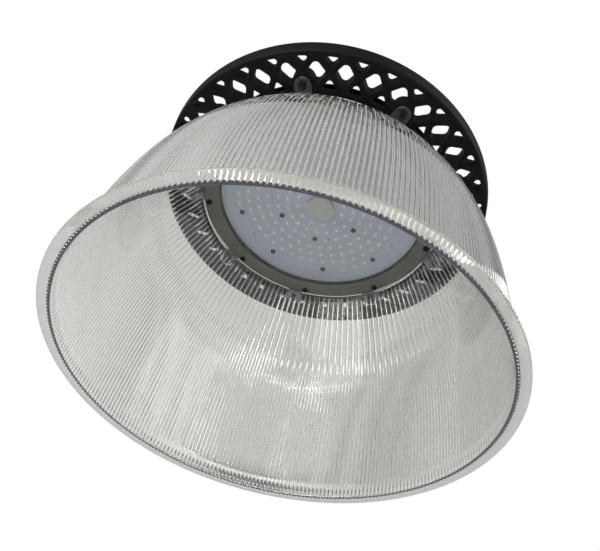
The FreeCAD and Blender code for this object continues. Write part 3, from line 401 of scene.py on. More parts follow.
# %% The tree that turns the section and presses the prisms
def prism_tree():
    """Rows follow the section, columns go round; every fourth column starts a new prism."""
    tree, given, result = new_tree("prismatic_bell", {
        "Prisms": ("Int", 288), "Section points": ("Int", 10), "End row": ("Float", -1.0),
        "Material": ("Material", None), "End material": ("Material", None),
        "Tip material": ("Material", None), "Lip material": ("Material", None)})
    columns = calc(tree, "MULTIPLY", given["Prisms"], COLUMNS_PER_PRISM)
    rows = given["Section points"]
    mesh = add(tree, "GeometryNodeMeshGrid", {
        "Size X": GRID_SIDE, "Size Y": GRID_SIDE, "Vertices X": calc(tree, "ADD", columns, 1),
        "Vertices Y": calc(tree, "ADD", rows, 1)}).outputs["Mesh"]
    column, row = column_and_row(tree, columns, rows)

    def from_section(value, kind="FLOAT"):
        return add(tree, "GeometryNodeSampleIndex",
                   {"Geometry": given["Geometry"], "Value": value, "Index": row},
                   data_type=kind).outputs[0]

    section_place = from_section(add(tree, "GeometryNodeInputPosition").outputs[0], "FLOAT_VECTOR")
    drawn = add(tree, "ShaderNodeSeparateXYZ", {0: section_place}).outputs
    depth, corner, flat, fade = (
        from_section(read(tree, name)) for name in ("depth", "corner", "flat", "fade"))
    angle, left, sunk = zigzag(tree, given["Prisms"], column, depth, flat, fade)
    radius = calc(tree, "MULTIPLY", drawn[0], left)
    where = add(tree, "ShaderNodeCombineXYZ", {
        0: calc(tree, "MULTIPLY", radius, calc(tree, "COSINE", angle)),
        1: calc(tree, "MULTIPLY", radius, calc(tree, "SINE", angle)), 2: drawn[2]}).outputs[0]
    for name, value in (("column", calc(tree, "MODULO", column, columns)), ("row", row),
                        ("depth", depth), ("corner", corner), ("sunk", sunk)):
        mesh = add(tree, "GeometryNodeStoreNamedAttribute",
                   {"Geometry": mesh, "Name": name, "Value": value}, data_type="FLOAT").outputs[0]
    mesh = add(tree, "GeometryNodeSetPosition", {"Geometry": mesh, "Position": where}).outputs[0]
    mesh = add(tree, "GeometryNodeMergeByDistance",
               {"Geometry": mesh, "Distance": TOUCHING}).outputs[0]
    mesh = add(tree, "GeometryNodeSetShadeSmooth",
               {"Geometry": with_sharp_edges(tree, mesh), "Shade Smooth": True}).outputs[0]
    mesh = add(tree, "GeometryNodeRealizeInstances", {"Geometry": mesh}).outputs[0]
    tree.links.new(dressed_by_place(tree, given, mesh), result[0])
    return tree


pressed_and_turned = prism_tree()
print("tree:", pressed_and_turned.name, "with", len(pressed_and_turned.nodes), "nodes")

# %% A half section as a mesh, and a piece turned from it
EVEN_COLUMNS = 0.125


def section_mesh(points):
    """The half section as loose points: prism depth, corner mark, tip flat and fade go along."""
    mesh = bpy.data.meshes.new("section")
    mesh.from_pydata([(point[0] * MM, 0, point[1] * MM) for point in points], [], [])
    for index, name in enumerate(("depth", "corner", "flat", "fade"), start=2):
        values = mesh.attributes.new(name, "FLOAT", "POINT")
        values.data.foreach_set("value", [float(point[index]) for point in points])
    return mesh


def turned(name, points, material, quarters):
    """A plain turned piece: 4 columns to a quarter, every corner marked True kept sharp."""
    section = section_mesh([(r, z, 0.0, sharp, EVEN_COLUMNS, 0.0) for r, z, sharp in points])
    return grown(name, section, pressed_and_turned, {
        "Prisms": quarters, "Section points": len(points), "Material": material,
        "End material": material, "Tip material": material, "Lip material": material})


def finished(piece, slot_name, *nodes):
    """Let a piece ride on the lamp, hide the CAD nodes it stands for and print its slot's name."""
    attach(piece, "root")
    if nodes:
        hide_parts(*nodes)
    print(f"{piece.name}: slot {slot_name}, stands for {', '.join(nodes) or 'no node'}")


print("a plain turned piece has even columns, with flats of", EVEN_COLUMNS)

# %% [markdown]
# ## Clear polycarbonate
#
# The reflector is injection moulded in clear polycarbonate, with an index of 1.585 and a glossy
# face. A weak diffuse and translucent part is mixed into the refraction, as if fine texture or
# dust scattered a little light in the wall. The tips of the prisms show as white lines, which is
# a painted highlight: a strong white haze on the tip flats stands for the light they catch. The
# lip is duller, for which handling is only a likely cause. The ears are matt by choice: small
# glossy faces this close to the casting mirror the floor as bright specks. One shader makes all
# four, since only the haze and the gloss differ.

# %% Clear polycarbonate, moulded
POLYCARBONATE_IOR = 1.585
HAZE_SIZE = 45
MOULDED_GLOSS, MATT_GLOSS = 0.5, 0.1
POLISHED, TEXTURED = 0.02, 0.3


def clear_polycarbonate(name, least_haze, most_haze, roughness=POLISHED, gloss=MOULDED_GLOSS):
    """Moulded plastic that refracts, with a haze that varies over a few centimetres."""
    material, tree, output = shader(name)
    glass = add(tree, "ShaderNodeBsdfPrincipled", {
        "Base Color": linear("#f3f2ef"), "Roughness": roughness, "IOR": POLYCARBONATE_IOR,
        "Transmission Weight": 1.0, "Specular IOR Level": gloss})
    haze = add(tree, "ShaderNodeBsdfTranslucent", {"Color": linear("#efeeeb")})
    chalk = add(tree, "ShaderNodeBsdfDiffuse", {"Color": linear("#efeeeb")})
    cloudy = add(tree, "ShaderNodeMixShader", {0: 0.5, 1: haze.outputs[0], 2: chalk.outputs[0]})
    amount = between(tree, noise_on_object(tree, HAZE_SIZE), least_haze, most_haze)
    mixed = add(tree, "ShaderNodeMixShader",
                {0: amount, 1: glass.outputs[0], 2: cloudy.outputs[0]})
    tree.links.new(mixed.outputs[0], output.inputs[0])
    return material


def plain_finish(name, stops, size_mm, **values):
    """A finish that needs only colour variation and fixed shader values."""
    material, tree, output = shader(name)
    inputs = {key.replace("_", " "): value for key, value in values.items()}
    inputs["Base Color"] = colours(tree, noise_on_object(tree, size_mm), stops)
    tree.links.new(add(tree, "ShaderNodeBsdfPrincipled", inputs).outputs[0], output.inputs[0])
    return material


POLYCARBONATE = clear_polycarbonate("clear_moulded_polycarbonate", 0.010, 0.016)
# The strong white haze on the prism tips is a painted highlight of the light they catch.
PRISM_TIPS = clear_polycarbonate("prism_tips_with_painted_highlight", 0.55, 0.7)
LIP_PLASTIC = clear_polycarbonate("handled_polycarbonate_lip", 0.2, 0.28)
EAR_PLASTIC = clear_polycarbonate("textured_polycarbonate_ears", 0.002, 0.004,
                                  roughness=TEXTURED, gloss=MATT_GLOSS)
# Light that runs along the wall leaves at the cut ends of the prisms, so they look dark.
PRISM_ENDS = plain_finish("ends_of_moulded_prisms", [(0.3, "#3b3742"), (0.7, "#4c4858")], 6,
                          Roughness=0.3, IOR=POLYCARBONATE_IOR)
print("reflector materials:", ", ".join(
    m.name for m in (POLYCARBONATE, PRISM_TIPS, LIP_PLASTIC, EAR_PLASTIC, PRISM_ENDS)))

# %% [markdown]
# ## The prismatic reflector
#
# The inside of the bell is smooth and its outside carries 288 V-shaped prisms at the lip, which
# turn light back like tiny mirrors. Above the shoulder every second one fades out here, and the
# flats between them widen. The count and the fade are estimates, and the solid keeps all its
# prisms up to the neck. Boolean cuts or an array of wedges would leave seams, so the half
# section is turned once with a zigzag pressed into its outer side.

# %% Half section of the reflector
FOOT = Vector((196.8, 2.5))
FOOT_GUIDE = Vector((189.8, 137.0))
SHOULDER_GUIDE = Vector((172.3, 163.0))
PRISMS = 288
PRISM_RATIO = math.pi / PRISMS
BELL_WALL = 2.0
NECK_BORE, NECK_OUTER = 128.6, 130.6
NECK_FOOT, NECK_TOP = 232.7, 235.7
NECK = Vector((NECK_OUTER / (1 - PRISM_RATIO), NECK_FOOT))
BELL_ROWS = 26
LIP_ROUND = 0.9
EDGE_BREAK = 0.5
PRISM_END_STEP = 0.05


def bell(share):
    """A point of the outer curve, as radius and height in millimetres, and its slope."""
    guides = (FOOT, FOOT_GUIDE, SHOULDER_GUIDE, NECK)
    rest = 1 - share
    weights = (rest ** 3, 3 * rest ** 2 * share, 3 * rest * share ** 2, share ** 3)
    point = sum((w * g for w, g in zip(weights, guides)), Vector((0, 0)))
    pulls = (rest ** 2, 2 * rest * share, share ** 2)
    run = sum((p * (b - a) for p, a, b in zip(pulls, guides, guides[1:])), Vector((0, 0)))
    return point, run.x / run.y


def reflector_section():
    """The closed half section, as (radius, height, prism depth, sharp corner) in millimetres.

    The second value is the inner edge of the prisms' cut ends, which reach to the next point.
    """
    outside, inside = [], []
    for row in range(BELL_ROWS + 1):
        point, slope = bell(row / BELL_ROWS)
        outside.append((point.x, point.y, PRISM_RATIO, False))
        radius = point.x * (1 - PRISM_RATIO) - BELL_WALL * math.hypot(1, slope)
        inside.append((max(radius, NECK_BORE), point.y, 0.0, False))
    inside[-1] = (NECK_BORE, NECK_FOOT, 0.0, False)
    neck = [(NECK_OUTER, NECK_FOOT, 0.0, True), (NECK_OUTER, NECK_TOP, 0.0, True),
            (NECK_BORE, NECK_TOP, 0.0, True)]
    rim = MOUTH_RADIUS / MM
    lip = [(rim - LIP_ROUND + LIP_ROUND * math.cos(a), b + LIP_ROUND * math.sin(a), 0.0, False)
           for b, angles in ((LIP_ROUND, (-90, -60, -30, 0)),
                             (FOOT.y - LIP_ROUND, (0, 30, 60, 90)))
           for a in map(math.radians, angles)]
    bore = inside[0][0]
    lip_start = FOOT.x + PRISM_END_STEP
    ends_edge = (bore + EDGE_BREAK, 0.0, 0.0, True)
    foot = [(bore, EDGE_BREAK, 0.0, False), ends_edge,
            (FOOT.x, 0.0, PRISM_RATIO, True), (lip_start, 0.0, 0.0, True)]
    lip.append((lip_start, FOOT.y, 0.0, True))
    return outside + neck + inside[::-1] + foot + lip, ends_edge


section, ends_edge = reflector_section()
PRISM_END_ROW = section.index(ends_edge) + 0.5
print("reflector section:", len(section), "points, prisms end after row", PRISM_END_ROW)

# %% Turn the reflector
FOOT_FLAT, NECK_FLAT = 0.03, 0.15
FADE_START, FADE_END = 155.0, 190.0


def with_flats(points):
    """Add the flats on tips and valleys, which widen upwards, and the fade of odd prisms."""
    rows = []
    for point in points:
        flat = FOOT_FLAT + (NECK_FLAT - FOOT_FLAT) * point[1] / NECK_FOOT
        fade = min(max((point[1] - FADE_START) / (FADE_END - FADE_START), 0.0), 1.0)
        rows.append((*point, flat, fade))
    return rows


reflector = grown("prismatic_reflector", section_mesh(with_flats(section)), pressed_and_turned, {
    "Prisms": PRISMS, "Section points": len(section), "End row": PRISM_END_ROW,
    "Material": POLYCARBONATE, "End material": PRISM_ENDS, "Tip material": PRISM_TIPS,
    "Lip material": LIP_PLASTIC})
finished(reflector, "reflector", "reflector")

# %% [markdown]
# ## Copies on circles
#
# Screws, ears and LEDs repeat round the axis. Each circle could be a loop of linked objects,
# but an instance on points keeps one shape and one list of places. The points carry the angle
# that each copy is turned by, and a second tree cuts the driver recess before it copies.

# %% Points round the axis, and flat shapes with a thickness
def places(spots, level):
    """Loose points at (radius, azimuth) in millimetres and degrees, each with its turn."""
    mesh = bpy.data.meshes.new("places")
    turns = [math.radians(azimuth) for _, azimuth in spots]
    mesh.from_pydata([(radius * MM * math.cos(turn), radius * MM * math.sin(turn), level * MM)
                      for (radius, _), turn in zip(spots, turns)], [], [])
    mesh.attributes.new("turn", "FLOAT", "POINT").data.foreach_set("value", turns)
    return mesh


def on_circle(radius, count, phase):
    """Evenly spaced places on one circle."""
    return [(radius, phase + 360 * index / count) for index in range(count)]


def slab(name, corners, low, high):
    """A flat shape with the given corners, between two heights, as a mesh object out of sight."""
    count = len(corners)
    mesh = bpy.data.meshes.new(name)
    points = [(x * MM, y * MM, z * MM) for z in (low, high) for x, y in corners]
    sides = [(i, (i + 1) % count, (i + 1) % count + count, i + count) for i in range(count)]
    bottom, top = tuple(range(count))[::-1], tuple(range(count, 2 * count))
    mesh.from_pydata(points, [], [bottom, top, *sides])
    return bpy.data.objects.new(name, mesh)


def cross(arm, width):
    """The corners of a plus sign, anticlockwise."""
    half = width / 2
    quarter = [(arm, -half), (arm, half), (half, half)]
    return [(x * math.cos(t) - y * math.sin(t), x * math.sin(t) + y * math.cos(t))
            for t in (math.radians(90 * q) for q in range(4)) for x, y in quarter]


def arc(radius, step, count, start=0):
    """Corners on a round arc, a step in degrees apart, anticlockwise."""
    turns = (math.radians(start + step * index) for index in range(count))
    return [(radius * math.cos(turn), radius * math.sin(turn)) for turn in turns]


def hexagon(corner):
    """The corners of a hexagon, anticlockwise."""
    return arc(corner, 60, 6)


print("a plus sign has", len(cross(2, 1)), "corners")


# %% The tree that cuts a recess and copies the shape
def copies_tree():
    """Cut one shape with another, copy it to every point, turn each copy, and dress them all."""
    tree, given, result = new_tree("copies_with_recess", {
        "Shape": ("Object", None), "Cutter": ("Object", None), "Tilt": ("Float", 0.0),
        "Material": ("Material", None)})
    shape, cutter = (
        add(tree, "GeometryNodeObjectInfo", {"Object": given[name]}).outputs["Geometry"]
        for name in ("Shape", "Cutter"))
    cut = add(tree, "GeometryNodeMeshBoolean", {"Mesh 1": shape, "Mesh 2": cutter},
              operation="DIFFERENCE", solver="EXACT")
    angles = add(tree, "ShaderNodeCombineXYZ", {0: given["Tilt"], 2: read(tree, "turn")})
    copies = add(tree, "GeometryNodeInstanceOnPoints", {
        "Points": given["Geometry"], "Instance": cut.outputs[0], "Rotation": angles.outputs[0]})
    real = add(tree, "GeometryNodeRealizeInstances", {"Geometry": copies.outputs[0]})
    tree.links.new(dressed(tree, real.outputs[0], given["Material"]), result[0])
    return tree


cut_and_copied = copies_tree()
UPRIGHT, FACING_DOWN = 0.0, math.pi


def copied(name, shape, cutter, spots, level, tilt, material):
    """Copies of one cut shape at every place, as one plain mesh."""
    return grown(name, places(spots, level), cut_and_copied, {
        "Shape": shape, "Cutter": cutter, "Tilt": tilt, "Material": material})


print("tree:", cut_and_copied.name, "with", len(cut_and_copied.nodes), "nodes")

# %% [markdown]
# ### Ears of the reflector
#
# Nine ears are moulded on the neck in the same clear plastic, each with a round end and a hole
# for the screw that comes down through the heat sink. A union with the bell would upset its
# clean rows, so the ears only reach into its wall. They stop a hair short of the casting and
# the nuts, because two faces in one plane flicker.

# %% Ears
EAR_CIRCLE, EAR_RADIUS, EAR_THICKNESS, EAR_PHASE = 140.5, 8.0, 2.4, 11.1
EAR_HOLE = 2.3
EAR_AIR = 0.12
EAR_SCREWS = 9
NECK_MIDDLE = (NECK_BORE + NECK_OUTER) / 2
inner_end = NECK_MIDDLE - EAR_CIRCLE
ear = slab("ear", [(inner_end, -EAR_RADIUS), *arc(EAR_RADIUS, 15, 13, start=-90),
                   (inner_end, EAR_RADIUS)], EAR_AIR, EAR_THICKNESS - EAR_AIR)
hole = slab("ear_hole", arc(EAR_HOLE, 15, 24), -1, EAR_THICKNESS + 1)
ear_spots = on_circle(EAR_CIRCLE, EAR_SCREWS, EAR_PHASE)
ears = copied("reflector_ears", ear, hole, ear_spots, NECK_TOP - EAR_THICKNESS, UPRIGHT,
              EAR_PLASTIC)
finished(ears, "reflector", "reflector")

# %% [markdown]
# ## Powder-coated castings
#
# The heat sink and the driver housing are die-cast aluminium with a black powder coat, and the
# bezel has an olive grey one. Powder melts into a slightly lumpy skin, like fine orange peel
# about 1 mm across, which breaks up the reflections without hiding them, and it rounds every
# edge a little. The lumps and soft edges could be modelled, but they are too fine to be seen
# as shape, so the shader bends the light instead. The skin is satin, and mirrors so little
# that the vanes stay nearly black, hence its low specular level.

# %% Black and olive powder coats
EDGE_SOFTNESS = 0.5 * MM
PEEL_SIZE, PEEL_HEIGHT, PEEL_STRENGTH = 1.2, 0.15 * MM, 0.25
SATIN_SPECULAR = 0.15
TONE_SIZE, GLOSS_SIZE = 30, 12


def powder_coat(name, low_hex, high_hex, roughness):
    """Powder coat on a casting: fine orange peel, softened edges and slightly uneven tone."""
    material, tree, output = shader(name)
    tone = colours(tree, noise_on_object(tree, TONE_SIZE), [(0.35, low_hex), (0.7, high_hex)])
    soft_edges = add(tree, "ShaderNodeBevel", {"Radius": EDGE_SOFTNESS}, samples=4)
    peel = add(tree, "ShaderNodeBump", {
        "Strength": PEEL_STRENGTH, "Distance": PEEL_HEIGHT,
        "Height": noise_on_object(tree, PEEL_SIZE), "Normal": soft_edges.outputs[0]})
    skin = add(tree, "ShaderNodeBsdfPrincipled", {
        "Base Color": tone, "Specular IOR Level": SATIN_SPECULAR, "Normal": peel.outputs[0],
        "Roughness": between(tree, noise_on_object(tree, GLOSS_SIZE), *roughness)})
    tree.links.new(skin.outputs[0], output.inputs[0])
    return material


def dress(node, material):
    """Give a CAD node its finish."""
    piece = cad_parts[node]
    piece.data.materials.clear()
    piece.data.materials.append(material)
    print(f"{node}: {material.name}")


BLACK_COAT = powder_coat("black_powder_coat_on_casting", "#070807", "#0d0f0e", (0.5, 0.65))
BEZEL_COAT = powder_coat("olive_grey_powder_coat_on_bezel", "#696b66", "#757771", (0.4, 0.5))
dress("heat_sink", BLACK_COAT)
dress("driver_housing", BLACK_COAT)
dress("bezel_ring", BEZEL_COAT)

# %% [markdown]
# ## LED board
#
# The board is aluminium with white solder mask, and copper tracks under the mask show as
# slightly different rings. A painted ring pattern would need a UV map, so the distance from
# the axis is worked out from Object coordinates and folded into rings instead.

# %% White solder mask over copper rings
LED_PITCH, FIRST_RING = 10.9, 25.4
TRACK_GAP = 1.2
MASK_SIZE = 25


def distance_from_axis(tree):
    """How far a point lies from the lamp's axis, in metres."""
    place = add(tree, "ShaderNodeTexCoord").outputs["Object"]
    flat = add(tree, "ShaderNodeVectorMath", {0: place, 1: (1, 1, 0)}, operation="MULTIPLY")
    return add(tree, "ShaderNodeVectorMath", {0: flat.outputs[0]},
               operation="LENGTH").outputs["Value"]


def solder_mask():
    """Pale mask, with a copper ring just visible under each ring of LEDs."""
    material, tree, output = shader("white_solder_mask_on_aluminium")
    half_pitch = LED_PITCH / 2
    from_track = calc(tree, "SUBTRACT", distance_from_axis(tree), (FIRST_RING - half_pitch) * MM)
    rings = calc(tree, "PINGPONG", from_track, half_pitch * MM)
    track = calc(tree, "GREATER_THAN", rings, TRACK_GAP * MM)
    mask = colours(tree, noise_on_object(tree, MASK_SIZE), [(0.3, "#e9ecf1"), (0.7, "#eff1f5")])
    copper = colours(tree, noise_on_object(tree, MASK_SIZE), [(0.3, "#e1e5eb"), (0.7, "#e8ebf0")])
    tone = add(tree, "ShaderNodeMix", {0: track, 6: copper, 7: mask}, data_type="RGBA").outputs[2]
    face = add(tree, "ShaderNodeBsdfPrincipled", {"Base Color": tone, "Roughness": 0.45})
    tree.links.new(face.outputs[0], output.inputs[0])
    return material


dress("led_board", solder_mask())

# %% [markdown]
# ### LEDs
#
# Each LED is a white moulded package with a yellow phosphor window and two soldered ends. They
# could be modelled once and copied by hand, but one tree places all of them and gives the three
# parts their own materials. The LEDs are off, and their windows carry a faint painted glow, an
# emission that stands for phosphor turning the blue of daylight into yellow.

# %% LED materials
LED_PACKAGE = plain_finish("white_moulded_led_package", [(0.3, "#eceee9"), (0.7, "#f3f4ef")], 5,
                           Roughness=0.4)
# The emission is a painted glow on windows whose LEDs are off.
PHOSPHOR = plain_finish("yellow_phosphor_in_silicone_with_painted_glow", [(0.35, "#f6f8a8"), (0.65, "#fdfde0")], 40,
                        Roughness=0.25, Emission_Color=linear("#f3f5b4"), Emission_Strength=0.3)
SOLDER = plain_finish("bright_tin_solder", [(0.3, "#b9bbbd"), (0.7, "#cfd1d2")], 1.5,
                      Metallic=1.0, Roughness=0.3)
print("LED materials:", LED_PACKAGE.name, PHOSPHOR.name, SOLDER.name)

# %% The LED tree
LED_SIDE, LED_HEIGHT, LED_WINDOW = 3.4 * MM, 0.7 * MM, 2.5 * MM
WINDOW_RISE = 0.1 * MM
SOLDER_HEIGHT, SOLDER_REACH = 0.16 * MM, 0.9 * MM


def led_tree():
    """Package, window and soldered ends on every point, each part realised and dressed."""
    tree, given, result = new_tree("placed_leds", {
        "Side": ("Float", LED_SIDE), "Height": ("Float", LED_HEIGHT),
        "Window": ("Float", LED_WINDOW), "Package": ("Material", None),
        "Phosphor": ("Material", None), "Solder": ("Material", None)})
    angles = add(tree, "ShaderNodeCombineXYZ", {2: read(tree, "turn")}).outputs[0]
    joined = add(tree, "GeometryNodeJoinGeometry")

    def part(width, length, height, level, material):
        size = add(tree, "ShaderNodeCombineXYZ", {0: width, 1: length, 2: height}).outputs[0]
        box = add(tree, "GeometryNodeMeshCube", {"Size": size}).outputs[0]
        shift = add(tree, "ShaderNodeCombineXYZ", {2: level}).outputs[0]
        moved = add(tree, "GeometryNodeTransform", {"Geometry": box, "Translation": shift})
        copies = add(tree, "GeometryNodeInstanceOnPoints", {
            "Points": given["Geometry"], "Instance": moved.outputs[0], "Rotation": angles})
        real = add(tree, "GeometryNodeRealizeInstances", {"Geometry": copies.outputs[0]})
        tree.links.new(dressed(tree, real.outputs[0], material), joined.inputs[0])

    # The LEDs hang under the board, so their heights count downwards.
    half_down = calc(tree, "MULTIPLY", given["Height"], -0.5)
    all_down = calc(tree, "MULTIPLY", given["Height"], -1.0)
    soldered = calc(tree, "ADD", given["Side"], SOLDER_REACH)
    part(given["Side"], given["Side"], given["Height"], half_down, given["Package"])
    part(given["Window"], given["Window"], WINDOW_RISE, all_down, given["Phosphor"])
    part(soldered, given["Window"], SOLDER_HEIGHT, -SOLDER_HEIGHT / 2, given["Solder"])
    tree.links.new(joined.outputs[0], result[0])
    return tree


placed_leds = led_tree()
print("tree:", placed_leds.name, "with", len(placed_leds.nodes), "nodes")

# %% Place the LEDs
BOARD_FACE = 241.6
LED_RINGS = ((12, 10.7), (20, 12.7), (24, 25.8), (30, 6.6), (35, 5.2), (40, 4.1))
INNER_CIRCLE, INNER_SCREWS, INNER_PHASE = 46.5, 6, 25.8
OUTER_CIRCLE, OUTER_SCREWS, OUTER_PHASE = 90.8, 9, -4.0
GROUP_CENTRES, GROUP_STEPS = (52.0, 172.0, 292.0), (-8.5, 0.0, 8.5)
SCREW_ROOM, SCREW_ROOM_DEGREES = 4, 4
inner_spots = on_circle(INNER_CIRCLE, INNER_SCREWS, INNER_PHASE)
outer_spots = on_circle(OUTER_CIRCLE, OUTER_SCREWS, OUTER_PHASE)


def clear_of_screws(radius, azimuth):
    """True where no inner board screw takes the place."""
    return all(abs(radius - r) > SCREW_ROOM
               or abs((azimuth - a + 180) % 360 - 180) > SCREW_ROOM_DEGREES
               for r, a in inner_spots)


led_spots = [(OUTER_CIRCLE, centre + step) for centre in GROUP_CENTRES for step in GROUP_STEPS]
for index, (count, phase) in enumerate(LED_RINGS):
    led_spots += on_circle(FIRST_RING + LED_PITCH * index, count, phase)
led_spots = [spot for spot in led_spots if clear_of_screws(*spot)]
leds = grown("led_packages", places(led_spots, BOARD_FACE), placed_leds, {
    "Side": LED_SIDE, "Height": LED_HEIGHT, "Window": LED_WINDOW,
    "Package": LED_PACKAGE, "Phosphor": PHOSPHOR, "Solder": SOLDER})
finished(leds, "led", "leds")
print(len(led_spots), "LEDs")

# %% [markdown]
# ## Screws
#
# The lamp is held together by small pan-head screws. A head could be a primitive with a bevel,
# but a turned half section gives the low crown of a real one. The copying tree then cuts the
# cross or the hexagon that the driver fits into. Under the lamp they are black oxide steel,
# which hardly shines, and on top they are zinc plated.

# %% Screw finishes
STEEL = plain_finish("zinc_plated_screw_steel", [(0.3, "#a3a49f"), (0.7, "#b9bab4")], 2,
                     Metallic=1.0, Roughness=0.32)
BLACK_STEEL = plain_finish("black_oxide_screw_steel", [(0.3, "#17171a"), (0.7, "#222226")], 2,
                           Metallic=0.6, Roughness=0.4)
HEAD_QUARTERS = 6
# The crown of a pan head, as shares of its radius and its height.
CROWN = ((1.0, 0.45), (0.94, 0.72), (0.82, 0.9), (0.6, 1.0), (0.0, 1.0))


def screw_head(name, radius, height):
    """A pan head with a small flat crown, standing on z = 0."""
    crown = [(out * radius, up * height, False) for out, up in CROWN]
    head = turned(name, [(radius, 0.0, True), *crown, (0.0, 0.0, True)], STEEL, HEAD_QUARTERS)
    scene.collection.objects.unlink(head)
    return head


print("screw finishes:", STEEL.name, BLACK_STEEL.name)

# %% Screws under the lamp
BEZEL_FACE = 235.0
BEZEL_CIRCLE, BEZEL_SCREWS, BEZEL_PHASE = 123.5, 9, 6.0
bezel_head = screw_head("bezel_screw_head", radius=3.4, height=1.8)
bezel_cross = slab("bezel_cross", cross(arm=1.9, width=0.8), low=0.7, high=3.0)
bezel_screws = copied("bezel_screw_heads", bezel_head, bezel_cross,
                      on_circle(BEZEL_CIRCLE, BEZEL_SCREWS, BEZEL_PHASE), BEZEL_FACE,
                      FACING_DOWN, BLACK_STEEL)
finished(bezel_screws, "screws", "bezel_screws")
board_head = screw_head("board_screw_head", radius=2.9, height=1.8)
board_cross = slab("board_cross", cross(arm=1.6, width=0.7), low=0.7, high=3.0)
for name, node, spots in (("outer_board_screw_heads", "board_screws_outer", outer_spots),
                          ("inner_board_screw_heads", "board_screws_inner", inner_spots)):
    heads = copied(name, board_head, board_cross, spots, BOARD_FACE, FACING_DOWN, BLACK_STEEL)
    finished(heads, "board_screws", node)

# %% [markdown]
# ### Pilot holes
#
# Three small holes in the board stay empty. A Boolean could drill the board, but a CAD piece
# is never changed here, so a thin dark disc stands in for each hole: painted shade for the
# shaded inside of the hole. The copying tree always cuts, so it gets a cutter that lies well
# away from the disc.

# %% Pilot holes of the board
PILOT_SPOTS = [(OUTER_CIRCLE, 16.0), (OUTER_CIRCLE, 136.0), (INNER_CIRCLE, 66.0)]
pilot_disc = slab("pilot_disc", hexagon(1.1), low=0.0, high=0.08)
cutter_apart = slab("cutter_apart", hexagon(0.1), low=5.0, high=6.0)
# The dark screw steel on these discs is painted shade for the inside of each hole.
pilot_holes = copied("board_pilot_holes", pilot_disc, cutter_apart, PILOT_SPOTS, BOARD_FACE,
                     FACING_DOWN, BLACK_STEEL)
finished(pilot_holes, "board")

# %% [markdown]
# ## Clear lens
#
# A flat moulded disc covers the board. Real refraction through a thin flat disc only shifts
# the view by a hair and makes noise, so it is drawn as see-through plastic with a Fresnel
# sheen, and its thick centre disc, where the plastic was injected, is milky. The sheen is left
# off the back faces, where a Fresnel node would see total reflection and shut out the light.

# %% Lens material
GATE_DISC, GATE_PIT = 15.2 * MM, 1.7 * MM
WALL_MILK, DISC_MILK, PIT_MILK = 0.06, 0.55, 0.9


def lens_plastic():
    """See-through flat plastic with a mirror-like sheen at low angles and a milky centre."""
    material, tree, output = shader("clear_moulded_lens_polycarbonate")
    away = distance_from_axis(tree)
    see = add(tree, "ShaderNodeBsdfTransparent", {"Color": linear("#eef0f4")})
    milky = add(tree, "ShaderNodeBsdfDiffuse", {"Color": linear("#c9cac2")})
    amount = WALL_MILK
    for radius, milk in ((GATE_DISC, DISC_MILK), (GATE_PIT, PIT_MILK)):
        inside = calc(tree, "LESS_THAN", away, radius)
        amount = calc(tree, "MAXIMUM", calc(tree, "MULTIPLY", inside, milk), amount)
    wall = add(tree, "ShaderNodeMixShader", {0: amount, 1: see.outputs[0], 2: milky.outputs[0]})
    shine = add(tree, "ShaderNodeBsdfAnisotropic", {"Color": linear("#ffffff"), "Roughness": 0.06})
    backfacing = add(tree, "ShaderNodeNewGeometry").outputs["Backfacing"]
    fresnel = add(tree, "ShaderNodeFresnel", {"IOR": POLYCARBONATE_IOR}).outputs[0]
    sheen = calc(tree, "MULTIPLY", fresnel, calc(tree, "SUBTRACT", 1.0, backfacing))
    mixed = add(tree, "ShaderNodeMixShader", {0: sheen, 1: wall.outputs[0], 2: shine.outputs[0]})
    tree.links.new(mixed.outputs[0], output.inputs[0])
    return material


dress("lens", lens_plastic())

# %% [markdown]
# ## Screws and nuts above the lens
#
# Nine screws come down through the bosses of the lattice and hold the reflector's ears with
# nuts, and six larger ones hold the driver housing. Only their heads show from above, so they
# are made as the others are, and the shanks and nuts keep their CAD shape.

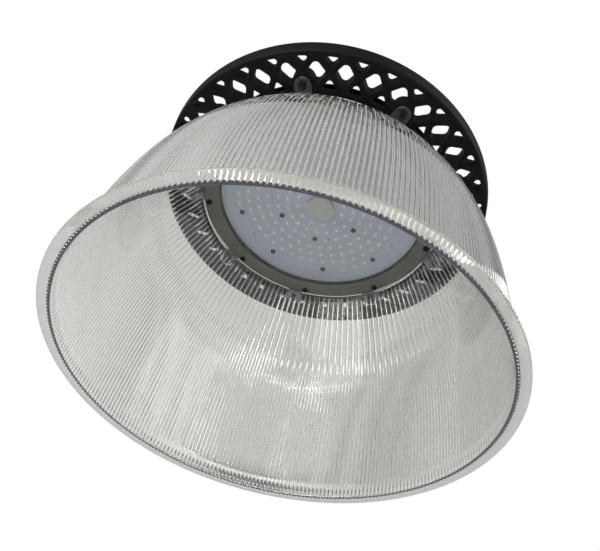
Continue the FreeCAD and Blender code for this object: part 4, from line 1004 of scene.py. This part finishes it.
# %% Screws above the lamp
LATTICE_TOP, FLANGE_TOP = 249.0, 257.5
HOUSING_CIRCLE, HOUSING_SCREWS, HOUSING_PHASE = 94.5, 6, 0.0
ear_head = screw_head("reflector_screw_head", radius=3.8, height=2.4)
ear_cross = slab("reflector_cross", cross(arm=2.1, width=0.9), low=0.9, high=4.0)
top_screws = copied("reflector_screw_heads", ear_head, ear_cross, ear_spots, LATTICE_TOP,
                    UPRIGHT, STEEL)
finished(top_screws, "screws")
housing_head = screw_head("housing_screw_head", radius=4.3, height=3.2)
hex_socket = slab("hex_socket", hexagon(2.3), low=1.0, high=5.0)
housing_screws = copied("housing_screw_heads", housing_head, hex_socket,
                        on_circle(HOUSING_CIRCLE, HOUSING_SCREWS, HOUSING_PHASE), FLANGE_TOP,
                        UPRIGHT, STEEL)
finished(housing_screws, "screws", "housing_screws")
dress("reflector_screws", BLACK_STEEL)
dress("reflector_nuts", BLACK_STEEL)
dress("driver_screws", STEEL)

# %% [markdown]
# ## Gaskets, gland, eye and the parts inside
#
# The gaskets are black silicone rubber, the gland is black nylon, and the eye is forged steel
# with bright zinc. Rubber looks matt, moulded nylon has a soft sheen, and zinc shines without
# being a mirror. Richer meshes could replace them, but their CAD shapes are good as they are,
# so they only get a finish, and what the housing hides gets its own real finish too.

# %% Rubber, nylon, steel and the rest
RUBBER = plain_finish("black_silicone_rubber", [(0.3, "#101011"), (0.7, "#1b1b1c")], 8,
                      Roughness=0.75)
NYLON = plain_finish("black_moulded_nylon", [(0.3, "#131315"), (0.7, "#1c1c1f")], 10,
                     Roughness=0.45)
GREY_SILICONE = plain_finish("grey_filled_silicone_pad", [(0.3, "#868b92"), (0.7, "#979ca2")], 6,
                             Roughness=0.8)
ZINC = plain_finish("bright_zinc_on_forged_steel", [(0.3, "#9b9d9a"), (0.7, "#bcbdb8")], 4,
                    Metallic=1.0, Roughness=0.34)
DRIVER_CASE = plain_finish("mill_finish_aluminium_case", [(0.3, "#a9abad"), (0.7, "#bfc1c3")], 6,
                           Metallic=1.0, Roughness=0.4)
TERMINAL = plain_finish("ivory_moulded_terminal_block", [(0.3, "#d3cfc2"), (0.7, "#dedbd0")], 8,
                        Roughness=0.5)
LEADS = plain_finish("red_insulated_wire", [(0.3, "#7c1a15"), (0.7, "#8f211b")], 5,
                     Roughness=0.45)
for material, dressed_nodes in (
        (RUBBER, ("lens_gasket", "housing_gasket", "lead_grommet", "gland_seal")),
        (NYLON, ("gland_body", "gland_lock_nut", "gland_dome_nut")),
        (GREY_SILICONE, ("thermal_pad",)), (ZINC, ("eye_bolt", "eye_washer", "eye_lock_nut")),
        (DRIVER_CASE, ("led_driver",)), (TERMINAL, ("terminal_block",)),
        (LEADS, ("input_leads", "output_leads"))):
    for node in dressed_nodes:
        dress(node, material)
